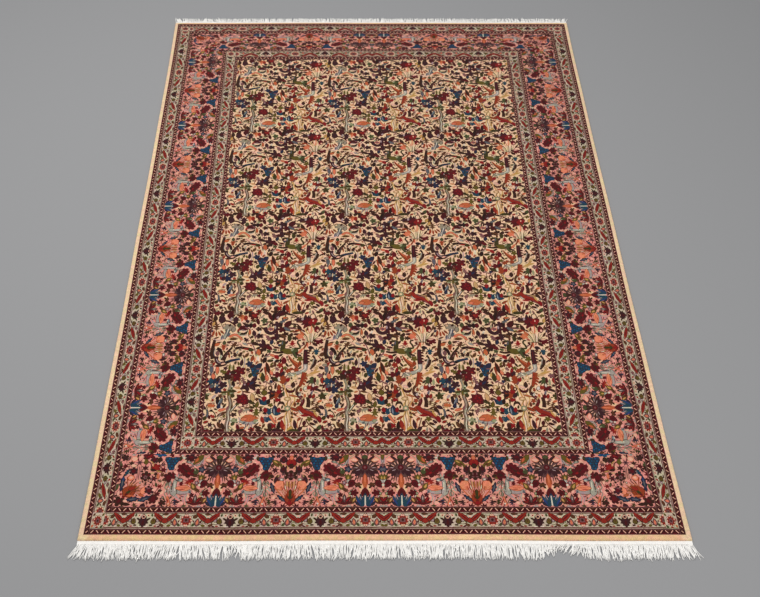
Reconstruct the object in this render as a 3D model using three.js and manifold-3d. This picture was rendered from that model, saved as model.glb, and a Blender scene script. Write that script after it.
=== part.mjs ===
// A hand-knotted rug lying flat: one piled cloth, and at each end a white flat-woven strip.
// The strip's warps run on as fringe.
// Millimetres, +Z up, +X across the rug and +Y along it, from the near end to the far end.
// The origin is on the floor, in the middle of the whole outline, fringes included.

import * as THREE from 'three';
import { mergeVertices } from 'three/addons/utils/BufferGeometryUtils.js';
import Module from 'manifold-3d';

const wasm = await Module();
wasm.setup();

// The piled cloth
const pileWidth = 2050;
const pileLength = 2936;
const pileThickness = 9;
const sideDrawIn = 8; // each long side bows inwards by this much at mid length
const edgeWander = 1.6; // a hand-woven edge strays this far to either side of its line
// How a long side strays: the length of each wave over 2 pi, its share, and its start on each side.
const sideWaves = [
  { reach: 310, share: 0.6, start: 1.3 },
  { reach: 127, share: 0.4, start: 1 },
];
const endWaves = [ // the same for an end
  { reach: 270, share: 0.7, start: 2.1 },
  { reach: 96, share: 0.3, start: -1 },
];
const edgeRound = 5; // width of the rounded shoulder where the pile ends
const edgeDrop = 2.4; // how much lower the pile stands at its very edge
const swell = 0.7; // the pile's top rises and falls gently by this much
const swellReach = { across: 190, along: 420, crossAlong: 260, crossAcross: 510 }; // length of each wave over 2 pi
const cellsAcross = 20;
const cellsAlong = 28;

// The woven ends and their fringe
const partGap = 0.3; // between the pile's edge and the woven strip
const stripThickness = 3;
const strandsPerEnd = 142;
const strandWidth = 8.6;
const strandHeight = 4.4;
const rootDepth = 5; // how far a strand's root is sunk into the strip
const rootHeight = 2.2;
const cornerSplay = 22; // degrees that the outermost strands lean outwards
const splayReach = 5; // strands over which that lean dies away
const tipWidthShare = 0.62;
const tipHeightShare = 0.7;

// One row for each end. side: -1 near, 1 far. Depth of the strip, mean length of the strands and its spread,
// how far they lean in waves (degrees), how many strands make one such wave, the steps along a strand,
// and the seed of the small chances.
const ends = [
  {
    name: 'fringe_near',
    side: -1,
    stripDepth: 17,
    strandLength: 47,
    spread: 3.5,
    waveLean: 9,
    wave: 23,
    steps: 3,
    seed: 11,
  },
  {
    name: 'fringe_far',
    side: 1,
    stripDepth: 13,
    strandLength: 30,
    spread: 3.0,
    waveLean: 7,
    wave: 19,
    steps: 2,
    seed: 29,
  },
];

const woolMaterial = new THREE.MeshStandardMaterial({ color: 0xb98f74, roughness: 0.95, metalness: 0 });
const cottonMaterial = new THREE.MeshStandardMaterial({ color: 0xe9e5da, roughness: 0.9, metalness: 0 });

const rug = new THREE.Group();

// Small repeatable chances between -1 and 1.
function chances(seed) {
  let state = seed;
  return () => {
    state = (state * 1664525 + 1013904223) % 4294967296;
    return state / 2147483648 - 1;
  };
}

// Grid lines from -1 to 1: even in the middle, with one narrow cell at each end for the rounded shoulder.
function gridLine(share, cells, length) {
  const shoulder = (2 * edgeRound) / length;
  const index = Math.round((share + 1) / 2 * cells);
  if (index === 0 || index === cells) return Math.sign(share);
  return -1 + shoulder + ((index - 1) / (cells - 2)) * (2 - 2 * shoulder);
}

// Where the cloth's outline runs: half its width at a given length, and each end's line at a given width.
function halfWidth(along) {
  const y = along / (pileLength / 2);
  const bow = sideDrawIn * (1 - y * y);
  return pileWidth / 2 - bow;
}

// How far an edge strays at a place along it. side is -1 or 1, one of the two edges that face each other.
function wander(waves, place, side) {
  const strays = waves.map((wave) => wave.share * Math.sin(place / wave.reach + side * wave.start));
  return edgeWander * strays.reduce((sum, stray) => sum + stray, 0);
}

// The plan position of a point of the cloth, from its shares (-1 to 1) across and along.
function clothPlan(u, v) {
  const along = v * pileLength / 2 + wander(endWaves, u * pileWidth / 2, Math.sign(v)) * v * v * Math.sign(v);
  const across = u * halfWidth(along) + wander(sideWaves, along, Math.sign(u)) * u * u;
  return { x: across, y: along };
}

function addMesh(name, geometry, material) {
  geometry.computeVertexNormals();
  const mesh = new THREE.Mesh(geometry, material);
  mesh.name = name;
  rug.add(mesh);
}

// Merges a geometry's shared points, so that it is one closed surface.
function closed(geometry) {
  geometry.deleteAttribute('normal');
  geometry.deleteAttribute('uv');
  return mergeVertices(geometry, 1e-4);
}

// The piled cloth: a flat underside, low walls and a gently uneven top that drops a little at its edge.
function pileGeometry() {
  const geometry = closed(new THREE.BoxGeometry(2, 2, 1, cellsAcross, cellsAlong, 1));
  const point = geometry.attributes.position;
  for (let i = 0; i < point.count; i += 1) {
    const u = gridLine(point.getX(i), cellsAcross, pileWidth);
    const v = gridLine(point.getY(i), cellsAlong, pileLength);
    const plan = clothPlan(u, v);
    const atEdge = Math.abs(u) === 1 || Math.abs(v) === 1;
    const slow = Math.sin(plan.x / swellReach.across + plan.y / swellReach.along);
    const cross = Math.cos(plan.y / swellReach.crossAlong - plan.x / swellReach.crossAcross);
    const rise = swell * slow * cross;
    const top = pileThickness + (atEdge ? -edgeDrop : rise);
    point.setXYZ(i, plan.x, plan.y, point.getZ(i) > 0 ? top : 0);
  }
  return geometry;
}

// The white flat-woven strip at one end. It follows the pile's edge at a small gap, on the same grid lines.
function stripGeometry(end) {
  const geometry = closed(new THREE.BoxGeometry(2, 1, 1, cellsAcross, 1, 1));
  const point = geometry.attributes.position;
  for (let i = 0; i < point.count; i += 1) {
    const u = gridLine(point.getX(i), cellsAcross, pileWidth);
    const plan = clothPlan(u, end.side);
    const outside = point.getY(i) * end.side > 0;
    const y = plan.y + end.side * (outside ? partGap + end.stripDepth : partGap);
    point.setXYZ(i, plan.x, y, point.getZ(i) > 0 ? stripThickness : 0);
  }
  return geometry;
}

// One fringe strand: a four-sided lock that leaves the strip, lies level on the floor and leans as its
// neighbours do.
// share is its place across the end from -1 to 1, and lean its angle outwards along +X in degrees.
function strandGeometry(end, share, length, lean, curl) {
  const geometry = closed(new THREE.BoxGeometry(1, 1, 1, 1, end.steps, 1));
  const point = geometry.attributes.position;
  const root = clothPlan(share * (1 - strandWidth / pileWidth), end.side);
  const rootY = root.y + end.side * (partGap + end.stripDepth - rootDepth);
  const angle = THREE.MathUtils.degToRad(lean);
  for (let i = 0; i < point.count; i += 1) {
    const t = point.getY(i) * end.side + 0.5;
    const run = t * (length + rootDepth);
    const free = Math.max(0, run - rootDepth);
    const width = strandWidth * THREE.MathUtils.lerp(1, tipWidthShare, t * t);
    const sunk = t < 0.01;
    const height = sunk ? rootHeight : strandHeight * THREE.MathUtils.lerp(1, tipHeightShare, t);
    const x = root.x + Math.tan(angle) * free + curl * t * t + point.getX(i) * width;
    point.setXYZ(i, x, rootY + end.side * run, point.getZ(i) > 0 ? height : 0);
  }
  return geometry;
}

function solid(geometry) {
  const mesh = new wasm.Mesh({
    numProp: 3,
    vertProperties: new Float32Array(geometry.attributes.position.array),
    triVerts: new Uint32Array(geometry.index.array),
  });
  return new wasm.Manifold(mesh);
}

function geometryOf(joined) {
  const mesh = joined.getMesh();
  const geometry = new THREE.BufferGeometry();
  geometry.setAttribute('position', new THREE.Float32BufferAttribute(mesh.vertProperties, 3));
  geometry.setIndex(new THREE.Uint32BufferAttribute(mesh.triVerts, 1));
  return geometry;
}

// A woven strip with its fringe, joined at the strands' roots.
function fringeGeometry(end) {
  const chance = chances(end.seed);
  const pieces = [solid(stripGeometry(end))];
  for (let i = 0; i < strandsPerEnd; i += 1) {
    const share = (2 * i) / (strandsPerEnd - 1) - 1;
    const fromCorner = Math.min(i, strandsPerEnd - 1 - i);
    const splay = Math.sign(share) * cornerSplay * Math.exp(-fromCorner / splayReach);
    const calm = 1 - Math.exp(-fromCorner / (2 * splayReach));
    const lean = splay + calm * end.waveLean * Math.sin((2 * Math.PI * i) / end.wave + end.seed) + chance();
    const length = end.strandLength + end.spread * chance();
    pieces.push(solid(strandGeometry(end, share, length, lean, chance())));
  }
  return geometryOf(wasm.Manifold.union(pieces));
}

addMesh('rug_pile', pileGeometry(), woolMaterial);
for (const end of ends) addMesh(end.name, fringeGeometry(end), cottonMaterial);

// The whole rug is moved so that the middle of its outline lies over the origin.
const outline = new THREE.Box3().setFromObject(rug);
rug.position.set(-(outline.min.x + outline.max.x) / 2, -(outline.min.y + outline.max.y) / 2, 0);

export default rug;
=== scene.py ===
import math

import bmesh
import bpy
import numpy as np
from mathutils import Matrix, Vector
from mathutils.geometry import delaunay_2d_cdt
from mathutils.kdtree import KDTree


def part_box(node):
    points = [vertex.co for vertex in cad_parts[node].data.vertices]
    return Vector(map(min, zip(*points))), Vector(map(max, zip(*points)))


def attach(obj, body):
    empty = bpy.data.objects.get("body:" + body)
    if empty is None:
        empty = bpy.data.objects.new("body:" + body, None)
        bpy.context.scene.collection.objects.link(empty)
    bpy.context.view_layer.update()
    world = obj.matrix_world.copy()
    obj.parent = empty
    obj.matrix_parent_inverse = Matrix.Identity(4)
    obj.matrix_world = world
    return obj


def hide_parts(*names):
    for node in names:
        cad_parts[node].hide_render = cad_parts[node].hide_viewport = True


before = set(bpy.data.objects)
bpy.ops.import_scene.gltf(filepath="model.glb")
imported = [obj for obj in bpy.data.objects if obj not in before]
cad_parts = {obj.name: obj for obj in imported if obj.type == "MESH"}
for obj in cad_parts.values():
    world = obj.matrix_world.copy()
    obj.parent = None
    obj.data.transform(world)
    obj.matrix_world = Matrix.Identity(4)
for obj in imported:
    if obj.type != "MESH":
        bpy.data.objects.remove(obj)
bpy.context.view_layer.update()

# The rug's own frame, in millimetres: x from the middle of the pile, y from its near edge.
rug = {
    "halfWidth": 1025.0,
    "length": 2936.0,
    "sideDrawIn": 8.0,  # how far a long side bows inwards at mid length
    "wander": 1.6,  # how far an edge strays, in waves that have a reach, a share and a start each
    "sideWaves": ((310, 0.6, 1.3), (127, 0.4, 1)),
    "endWaves": ((270, 0.7, 2.1), (96, 0.3, -1)),
    "pile": 9.0,
    "swell": 0.7,  # the pile's top rises and falls by this much, over four reaches
    "swellReach": (190, 420, 260, 510),
    "bedHeight": 6.3,  # of the ground under the patterned pile
    "underside": 6.6,  # height of the patterned pile's own underside
    "backTint": (0.35, 0.26, 0.2, 1),
    "seam": 2e-5,  # points of neighbouring repeats that are nearer than this, in metres, become one
}
pileLow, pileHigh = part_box("rug_pile")
middleX = (pileLow.x + pileHigh.x) * 500
middleY = (pileLow.y + pileHigh.y) * 500

# How far each line between two bands lies from the pile's edge, in millimetres: at the near end, at the far
# end, and on the long sides where they meet those ends. The first is the edge itself, the last the field's.
lines = {
    "near": [0, 18, 39.9, 99.3, 121.9, 328.7, 349.3, 401.4, 422.5],
    "far": [0, 11.6, 33.8, 75.2, 97.1, 232.6, 246.9, 292.8, 317.6],
    "sideNear": [0, 17.4, 35.8, 77.5, 97.5, 285.5, 302.5, 351.5, 371.5],
    "sideFar": [0, 15, 32.6, 81.6, 97.6, 268.6, 285.2, 331.2, 346.2],
}

dyes = {
    "ground": (243, 203, 169),
    "rose": (226, 148, 137),
    "guard": (201, 185, 165),
    "peach": (243, 201, 159),
    "cream": (247, 216, 181),
    "pinkPale": (236, 178, 156),
    "salmon": (216, 118, 86),
    "coral": (234, 140, 108),
    "orange": (192, 98, 60),
    "rust": (148, 60, 30),
    "brick": (144, 38, 26),
    "red": (136, 20, 24),
    "wine": (92, 15, 22),
    "maroon": (72, 18, 20),
    "plum": (60, 28, 34),
    "mauve": (124, 78, 80),
    "lilac": (172, 147, 150),
    "fan": (92, 60, 60),
    "navy": (38, 40, 64),
    "royal": (40, 60, 114),
    "teal": (32, 64, 82),
    "grape": (16, 82, 120),
    "slate": (90, 90, 97),
    "greyBlue": (126, 136, 146),
    "grey": (165, 158, 150),
    "stone": (148, 135, 118),
    "brown": (90, 52, 30),
    "umber": (58, 31, 20),
    "dark": (42, 20, 15),
    "claret": (60, 13, 13),
    "olive": (96, 82, 28),
    "oliveDark": (62, 54, 22),
    "moss": (70, 74, 42),
    "sage": (150, 150, 116),
    "gold": (196, 150, 84),
    "tan": (200, 158, 112),
    "white": (218, 208, 192),
}


# A dye as linear red, green and blue from 0 to 1.
def linear(name):
    share = np.array(dyes[name]) / 255
    return np.where(share < 0.04045, share / 12.92, ((share + 0.055) / 1.055) ** 2.4)


# How far an edge strays at a place along it, as a sum of sines. side is -1 or 1, one of two facing edges.
def strays(waves, place, side):
    return sum(share * np.sin(place / reach + side * start) for reach, share, start in waves)


# Plan position in metres of points of the rug. The long sides bow inwards to mid length, and every edge
# strays a little, less and less towards the middle.
def onRug(x, y):
    along = y - rug["length"] / 2
    share = along / (rug["length"] / 2)
    side, end = np.sign(x), np.sign(share)
    across = x * (1 - rug["sideDrawIn"] / rug["halfWidth"] * (1 - share**2))
    across = across + rug["wander"] * strays(rug["sideWaves"], along, side) * (x / rug["halfWidth"]) ** 2
    along = along + rug["wander"] * strays(rug["endWaves"], x, end) * share**2 * end
    return (middleX + across) / 1000, (middleY + along) / 1000


# The pile's top in metres: its thickness with a slow rise and fall, one wave times another that crosses it.
def pileTop(x, y):
    along = y - rug["length"] / 2
    a, b, c, d = rug["swellReach"]
    rise = np.sin(x / a + along / b) * np.cos(along / c - x / d)
    return (rug["pile"] + rug["swell"] * rise) / 1000


# Motifs. Each kind is a list of outlines in a box from -1 to 1, with its long way along x.


# A leaf: half its width is (1 - x squared) to the power of its fullness, with a belly towards its foot.
def lens(count, fullness, belly):
    x = np.linspace(-1, 1, count)
    half = (1 - x**2) ** fullness * (1 - belly * x)
    return np.concatenate([np.stack([x, half], 1), np.stack([x, -half], 1)[-2:0:-1]])


# Points evenly round a circle.
def disc(count):
    a = np.linspace(0, 2 * np.pi, count, endpoint=False)
    return np.stack([np.cos(a), np.sin(a)], 1)


# Petals with a rounded end of three points, and a notch between each two.
def lobed(petals, notch):
    places = np.array([0, 0.2, 0.5, 0.8])  # as shares of a petal, with the radius at each
    radii = np.array([notch, 0.94, 1.04, 0.94])
    a = ((np.arange(petals)[:, None] + places) * 2 * np.pi / petals).ravel()
    r = np.tile(radii, petals)
    return np.stack([r * np.cos(a), r * np.sin(a)], 1)


# Points evenly round a circle, every second one drawn in to the notch.
def spiked(tips, notch):
    a = np.linspace(0, 2 * np.pi, tips * 2, endpoint=False)
    r = np.where(np.arange(len(a)) % 2 == 0, 1.0, notch)
    return np.stack([r * np.cos(a), r * np.sin(a)], 1)


# A palmette's rim: teeth all round but for its foot, which lies at -x.
def toothed(teeth, depth, spread):
    a = np.linspace(-spread, spread, teeth * 2 + 1)
    r = np.where(np.arange(len(a)) % 2 == 0, 1 - depth, 1.0)
    rim = np.stack([r * np.cos(a), r * np.sin(a)], 1)
    foot = [[-0.8, 0.0]]
    return np.concatenate([rim, foot])


# Half an outline, with its mirror image below the x axis.
def mirrored(points):
    half = np.array(points, float)
    return np.concatenate([half, (half * [1, -1])[::-1]])


grapes = {
    "shield": [(-1, 0.3), (-0.6, 0.52), (0, 0.68), (0.5, 1), (0.95, 0.94), (1, 0.45), (0.86, 0.1)],
    "rows": (2, 3, 3, 4, 5),
    "firstRow": -0.74,
    "rowPitch": 0.37,
    "pitch": 0.39,
    "corners": 6,
    "radius": 0.16,
    "dyes": ("grape", "teal"),
}


# Berries in rows that widen towards x = 1, over a shield with a blunt foot and two shoulders.
def bunch():
    shapes = [mirrored(grapes["shield"])]
    for row, count in enumerate(grapes["rows"]):
        for place in range(count):
            across = (place - (count - 1) / 2) * grapes["pitch"]
            middle = [grapes["firstRow"] + grapes["rowPitch"] * row, across]
            shapes.append(disc(grapes["corners"]) * grapes["radius"] + middle)
    return shapes


kinds = {
    "leaf": [lens(5, 0.8, 0.2)],
    "oval": [disc(8)],
    "drop": [lens(6, 0.6, 0.4)],
    "rose": [lobed(5, 0.62)],
    "star": [spiked(6, 0.42)],
    "petals": [lobed(6, 0.7)],
    "rosette": [spiked(9, 0.72)],
    "vine": [mirrored([(-1, 0.05), (-0.62, 0.32), (-0.8, 0.95), (-0.28, 0.5), (0.02, 1), (0.2, 0.42),
                       (0.62, 0.6), (1, 0.02)])],
    "feather": [np.array([(-1, 0), (-0.7, 0.6), (-0.5, 0.45), (-0.2, 1), (0, 0.6), (0.35, 0.85), (0.5, 0.4),
                          (1, 0), (0.5, -0.4), (0.35, -0.85), (0, -0.6), (-0.2, -1), (-0.5, -0.45),
                          (-0.7, -0.6)])],
    "tulip": [mirrored([(-1, 0.1), (-0.7, 0.72), (0.0, 0.85), (1, 1), (0.4, 0.36), (0.95, 0.04)])],
    "maple": [mirrored([(-1, 0.06), (-0.42, 0.14), (-0.85, 0.8), (-0.12, 0.42), (0.0, 1), (0.34, 0.3),
                        (0.62, 0.5), (1, 0.02)])],
    "bowl": [mirrored([(-1, 0.35), (-0.6, 0.8), (0.2, 1), (1, 0.95), (0.3, 0.7), (-0.1, 0.3)])],
    "frond": [mirrored([(-1, 0.05), (-0.6, 0.1), (-0.85, 0.8), (-0.3, 0.14), (-0.25, 1), (0.15, 0.16),
                        (0.35, 0.75), (0.55, 0.12), (1, 0.03)])],
    "twig": [mirrored([(-1, 0), (0, 1), (1, 0)])[[0, 1, 2, 4]]],
    "fan": [toothed(9, 0.2, 2.3)],
    "bunch": bunch(),
    "bar": [mirrored([(-1, 1), (1, 1)])],
}

# How a chart is painted. Sizes are in millimetres.
paint = {
    "edgeDye": "umber",
    "spanSteps": 3,  # short straights between two points of a stem
    "edgedStem": 6,  # a stem of this width or more has an edge
    "stemEdge": 1.4,
    "edgedMotif": 11,  # so has a motif that is wider than this both ways, where it has no rim of its own
    "motifEdge": 3.0,
    "rim": 4.4,  # a motif is smaller by this much inside its own rim
    "heart": 0.45,
    "smallest": 1.5,
}


# A smooth line through the given points, with half its width to the side, from its first width to its last.
# Each span is a cubic that leaves a point in the direction from the point before to the point after.
def stroke(words):
    widths = [float(w) for w in words[0].split("-")]
    knots = np.array([float(w) for w in words[1:]]).reshape(-1, 2)
    ends = np.concatenate([[2 * knots[0] - knots[1]], knots, [2 * knots[-1] - knots[-2]]])
    t = np.linspace(0, 1, paint["spanSteps"] + 1)[:-1, None]
    run = []
    for a, b, c, d in zip(ends, ends[1:], ends[2:], ends[3:]):
        run.append(b + 0.5 * t * (c - a + t * (2 * a - 5 * b + 4 * c - d + t * (3 * (b - c) + d - a))))
    run = np.concatenate(run + [knots[-1:]]) if len(knots) > 2 else knots
    side = np.gradient(run, axis=0)[:, ::-1] * [-1, 1]
    side /= np.linalg.norm(side, axis=1, keepdims=True)
    side *= np.linspace(widths[0], widths[-1], len(run))[:, None] / 2
    return run, side


# A strip to either side of a line.
def strip(run, side):
    return np.concatenate([run + side, (run - side)[::-1]])


# A stem, over an edge where it is wide enough.
def stemOutlines(words):
    run, side = stroke(words[2:])
    found = [(words[0].split("/")[0], strip(run, side))]
    if float(words[2].split("-")[0]) >= paint["edgedStem"]:
        wider = side * (1 + paint["stemEdge"] / np.linalg.norm(side, axis=1, keepdims=True))
        found.insert(0, (paint["edgeDye"], strip(run, wider)))
    return found


# A motif: its rim or edge, its fill and its heart, each at a size of its own, turned and placed.
def motifOutlines(words, grow):
    tones, kind = words[0].split("/"), words[1]
    x, y, long, wide, turn = (float(w) for w in words[2:])
    a = math.radians(turn)
    spin = np.array([[math.cos(a), math.sin(a)], [-math.sin(a), math.cos(a)]])
    long, wide = long * grow, wide * grow
    layers = [(tones[0], 1.0, 0.0)]
    if len(tones) > 1 and tones[1] != "-":
        layers = [(tones[1], 1.0, 0.0), (tones[0], 1.0, paint["rim"])]
    elif min(long, wide) > paint["edgedMotif"] and kind != "bunch":
        layers = [(paint["edgeDye"], 1.0, -paint["motifEdge"]), (tones[0], 1.0, 0.0)]
    if len(tones) > 2:
        layers.append((tones[2], paint["heart"], 0.0))
    found = []
    for tone, scale, less in layers:
        extent = [max(paint["smallest"], size * scale - less) / 2 for size in (long, wide)]
        for number, shape in enumerate(kinds[kind]):
            isBerry = kind == "bunch" and number > 0
            dye = grapes["dyes"][number % 2] if isBerry else tone
            found.append((dye, shape * extent @ spin + [x, y]))
    return found


# Every outline of a chart in the order it is painted, with its dye. A row is
#   dye kind x y long wide turn        for a motif, or
#   dye line width x1 y1 x2 y2 ...     for a stem, whose width may change, as in 8-5
# A dye may be fill/rim/heart: the rim shows round the fill, and the heart is a smaller copy inside. A dash
# stands for no rim of its own.
def outlinesOf(chart, grow):
    found = []
    for row in chart.replace(",", "\n").splitlines():
        words = row.split()
        if words:
            found += stemOutlines(words) if words[1] == "line" else motifOutlines(words, grow)
    return found


# Twice the area inside an outline, above zero where its inside is on its left.
def turning(shape):
    x, y = shape[:, 0], shape[:, 1]
    return (x * np.roll(y, -1) - y * np.roll(x, -1)).sum()


# Sprigs are small leaves and buds that fill a chart's gaps. Sizes are in millimetres.
sprigRules = {
    "pitch": 6.0,  # of the spots that are tried, which stray by chance
    "stray": 3,
    "widest": 13.0,  # the most room that one takes
    "sizes": (0.9, 1.2),  # a sprig's reach as shares of its room
    "length": 2.4,  # in reaches
    "twigLength": 1.4,  # in sprigs' lengths
    "twigWidth": 2.2,
    "spare": 0.4,  # left free between two
    "marks": (0, 0.5, 0.25, 0.75),  # the places along each side of an outline that keep sprigs off
    "solid": 0.2,  # an outline that fills more of its box than this keeps them off its inside too
    "insides": (0.66, 0.33),
    "kinds": (("frond", 0.8), ("frond", 0.8), ("vine", 0.8), ("leaf", 0.5), ("maple", 0.9), ("rose", 0.9)),
}


# Leaves and buds for the gaps that a chart leaves, the widest gap first, each as large as its gap allows.
# The band gives the least gap that is filled, the dyes and the seed.
def sprigs(outlines, width, height, wraps, band):
    chance, tones = np.random.default_rng(band["seed"]), band["tones"].split()
    pitch, stray = sprigRules["pitch"], sprigRules["stray"]
    spots = np.meshgrid(np.arange(0, width, pitch), np.arange(0, height, pitch))
    spots = np.stack(spots, -1).reshape(-1, 2)
    spots = spots + chance.uniform(-stray, stray, spots.shape)
    marks = []
    for tone, shape in outlines:
        following = np.roll(shape, -1, 0)
        marks += [shape * (1 - t) + following * t for t in sprigRules["marks"]]
        if abs(turning(shape)) / 2 > sprigRules["solid"] * np.ptp(shape[:, 0]) * np.ptp(shape[:, 1]):
            middle = shape.mean(0)
            marks += [middle + (shape - middle) * inward for inward in sprigRules["insides"]]
    marks = np.concatenate(marks)
    tree = KDTree(len(marks))
    for number, (x, y) in enumerate(marks.tolist()):
        tree.insert((x, y, 0), number)
    tree.balance()
    room = np.array([tree.find((x, y, 0))[2] for x, y in spots.tolist()])
    size = np.array([width, height])
    rows = []
    while room.max() > band["least"]:
        here = room.argmax()
        reach = min(room[here], sprigRules["widest"]) * chance.uniform(*sprigRules["sizes"])
        x, y = spots[here]
        turn = chance.uniform(0, 360)
        kind, share = sprigRules["kinds"][chance.integers(len(sprigRules["kinds"]))]
        long = reach * sprigRules["length"]
        if kind != "rose":
            twig = long * sprigRules["twigLength"]
            rows.append(f"brown twig {x:.1f} {y:.1f} {twig:.1f} {sprigRules['twigWidth']} {turn:.0f}")
        tone = tones[chance.integers(len(tones))]
        rows.append(f"{tone} {kind} {x:.1f} {y:.1f} {long:.1f} {long * share:.1f} {turn:.0f}")
        gap = spots - spots[here]
        if wraps:
            gap -= size * np.round(gap / size)
        room = np.minimum(room, np.linalg.norm(gap, axis=1) - reach - sprigRules["spare"])
        room[here] = 0
    print("sprigs:", len(rows))
    return outlinesOf("\n".join(rows), 1.0)


weave = {
    "merge": 1e-3,  # points of the pattern nearer than this, in millimetres, become one
    "straight": 4,  # degrees that an outline may turn at a point that is left out
}


# Cuts a rectangle of ground along every outline and gives each triangle the dye painted last on it.
def woven(outlines, width, height, ground, cell):
    points = [np.array([(0, 0), (width, 0), (width, height), (0, height)], float)]
    points += [shape if turning(shape) > 0 else shape[::-1] for tone, shape in outlines]
    counts = [len(shape) for shape in points]
    faces = [list(range(end - count, end)) for end, count in zip(np.cumsum(counts).tolist(), counts)]
    across = np.linspace(0, width, max(1, math.ceil(width / cell)) + 1)
    along = np.linspace(0, height, max(1, math.ceil(height / cell)) + 1)
    points.append(np.stack(np.meshgrid(across, along), -1).reshape(-1, 2))
    flat = [Vector(p) for p in np.concatenate(points).tolist()]
    verts, edges, triangles, _, _, sources = delaunay_2d_cdt(flat, [], faces, 0, weave["merge"])
    names = [ground] + [tone for tone, shape in outlines]
    palette = sorted(set(names))
    cloth = bmesh.new()
    corners = [cloth.verts.new((v.x, v.y, 0)) for v in verts]
    for triangle, source in zip(triangles, sources):
        if 0 in source:
            face = cloth.faces.new([corners[i] for i in triangle])
            face.material_index = palette.index(names[max(source)])
    bmesh.ops.delete(cloth, geom=[v for v in cloth.verts if not v.link_faces], context="VERTS")
    bmesh.ops.dissolve_limit(
        cloth,
        angle_limit=math.radians(weave["straight"]),
        verts=[v for v in cloth.verts if not v.is_boundary],
        edges=[e for e in cloth.edges if not e.is_boundary],
        delimit={"MATERIAL"},
    )
    bmesh.ops.triangulate(cloth, faces=cloth.faces)
    cloth.verts.index_update()
    place = np.array([v.co[:2] for v in cloth.verts]) / [width, height]
    kept = np.array([[v.index for v in face.verts] for face in cloth.faces])
    tints = np.array([linear(name) for name in palette])
    colours = tints[[face.material_index for face in cloth.faces]]
    cloth.free()
    return {"place": place, "triangles": kept, "colours": colours}


# Lays repeats side by side over a four-cornered strip of the rug. Each row is a repeat with the shares of
# the strip where its left and right sides go, and the shares where its bottom and top go. A point goes to
# the mean of the four corners, weighted by its shares.
def laidOver(corners, rows):
    nearLeft, nearRight, farLeft, farRight = (np.array(c, float) for c in corners)
    plans, triangles, colours, base = [], [], [], 0
    for repeat, left, right, low, high in rows:
        u = (left + (right - left) * repeat["place"][:, 0])[:, None]
        v = (low + (high - low) * repeat["place"][:, 1])[:, None]
        plan = (nearLeft * (1 - u) + nearRight * u) * (1 - v) + (farLeft * (1 - u) + farRight * u) * v
        tris = repeat["triangles"]
        a, b, c = (plan[tris[:, i]] for i in range(3))
        area = (b[:, 0] - a[:, 0]) * (c[:, 1] - a[:, 1]) - (b[:, 1] - a[:, 1]) * (c[:, 0] - a[:, 0])
        plans.append(plan)
        triangles.append((tris if area.sum() > 0 else tris[:, ::-1]) + base)
        colours.append(repeat["colours"])
        base += len(plan)
    return np.concatenate(plans), np.concatenate(triangles), np.concatenate(colours)


# Puts a finished mesh into the scene as a piece of its own.
def shown(name, mesh):
    piece = bpy.data.objects.new(name, mesh)
    bpy.context.scene.collection.objects.link(piece)
    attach(piece, "root")
    return piece


# Writes one colour for each corner of a mesh's faces.
def dyeCorners(mesh, colours):
    tint = np.ones((len(colours), 4), np.float32)
    tint[:, :3] = colours
    mesh.attributes.new("dye", "FLOAT_COLOR", "CORNER").data.foreach_set("color", tint.ravel())


# One closed piece of patterned pile: every strip is bent onto the rug at the height of the pile's top,
# and gets walls and a flat underside.
def patternedPile(name, strips):
    sheet = bmesh.new()
    dyeLayer = sheet.loops.layers.float_color.new("dye")
    for plan, triangles, colours in strips:
        x, y = onRug(plan[:, 0], plan[:, 1])
        z = pileTop(plan[:, 0], plan[:, 1])
        mesh = bpy.data.meshes.new("strip")
        mesh.from_pydata(np.stack([x, y, z], 1).tolist(), [], triangles.tolist())
        dyeCorners(mesh, np.repeat(colours, 3, axis=0))
        start = len(sheet.verts)
        sheet.from_mesh(mesh)
        bpy.data.meshes.remove(mesh)
        sheet.verts.ensure_lookup_table()
        added = [v for v in sheet.verts[start:] if v.is_boundary]
        bmesh.ops.remove_doubles(sheet, verts=added, dist=rug["seam"])
    rim = [e for e in sheet.edges if e.is_boundary]
    fallen = bmesh.ops.extrude_edge_only(sheet, edges=rim)["geom"]
    for v in fallen:
        if isinstance(v, bmesh.types.BMVert):
            v.co.z = rug["underside"] / 1000
    lowEdges = [g for g in fallen if isinstance(g, bmesh.types.BMEdge) and g.is_boundary]
    under = bmesh.ops.holes_fill(sheet, edges=lowEdges, sides=0)["faces"]
    for face in under:
        for corner in face.loops:
            corner[dyeLayer] = rug["backTint"]
    bmesh.ops.recalc_face_normals(sheet, faces=sheet.faces)
    bmesh.ops.triangulate(sheet, faces=under)
    made = bpy.data.meshes.new(name)
    sheet.to_mesh(made)
    sheet.free()
    return shown(name, made)


# Where a line between bands runs at the near end and at the far end.
def lineEnds(line):
    return lines["near"][line], rug["length"] - lines["far"][line]


# The half width of a line between bands at a given y.
def halfWidthAt(line, y):
    near, far = lineEnds(line)
    share = (y - near) / (far - near)
    inset = lines["sideNear"][line] * (1 - share) + lines["sideFar"][line] * share
    return rug["halfWidth"] - inset


# The four strips of a band between two lines, as corner points: outer left, outer right, inner left, inner
# right, seen from outside. The corner squares are left out.
def stripsOf(outer, inner):
    (nearOut, farOut), (nearIn, farIn) = lineEnds(outer), lineEnds(inner)
    nearX, farX = halfWidthAt(inner, nearIn), halfWidthAt(inner, farIn)
    strips = {
        "near": [(-nearX, nearOut), (nearX, nearOut), (-nearX, nearIn), (nearX, nearIn)],
        "far": [(-farX, farOut), (farX, farOut), (-farX, farIn), (farX, farIn)],
    }
    nearOutX, farOutX = halfWidthAt(outer, nearIn), halfWidthAt(outer, farIn)
    for name, side in (("left", -1), ("right", 1)):
        places = ((nearOutX, nearIn), (farOutX, farIn), (nearX, nearIn), (farX, farIn))
        strips[name] = [(side * x, y) for x, y in places]
    return strips


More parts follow.
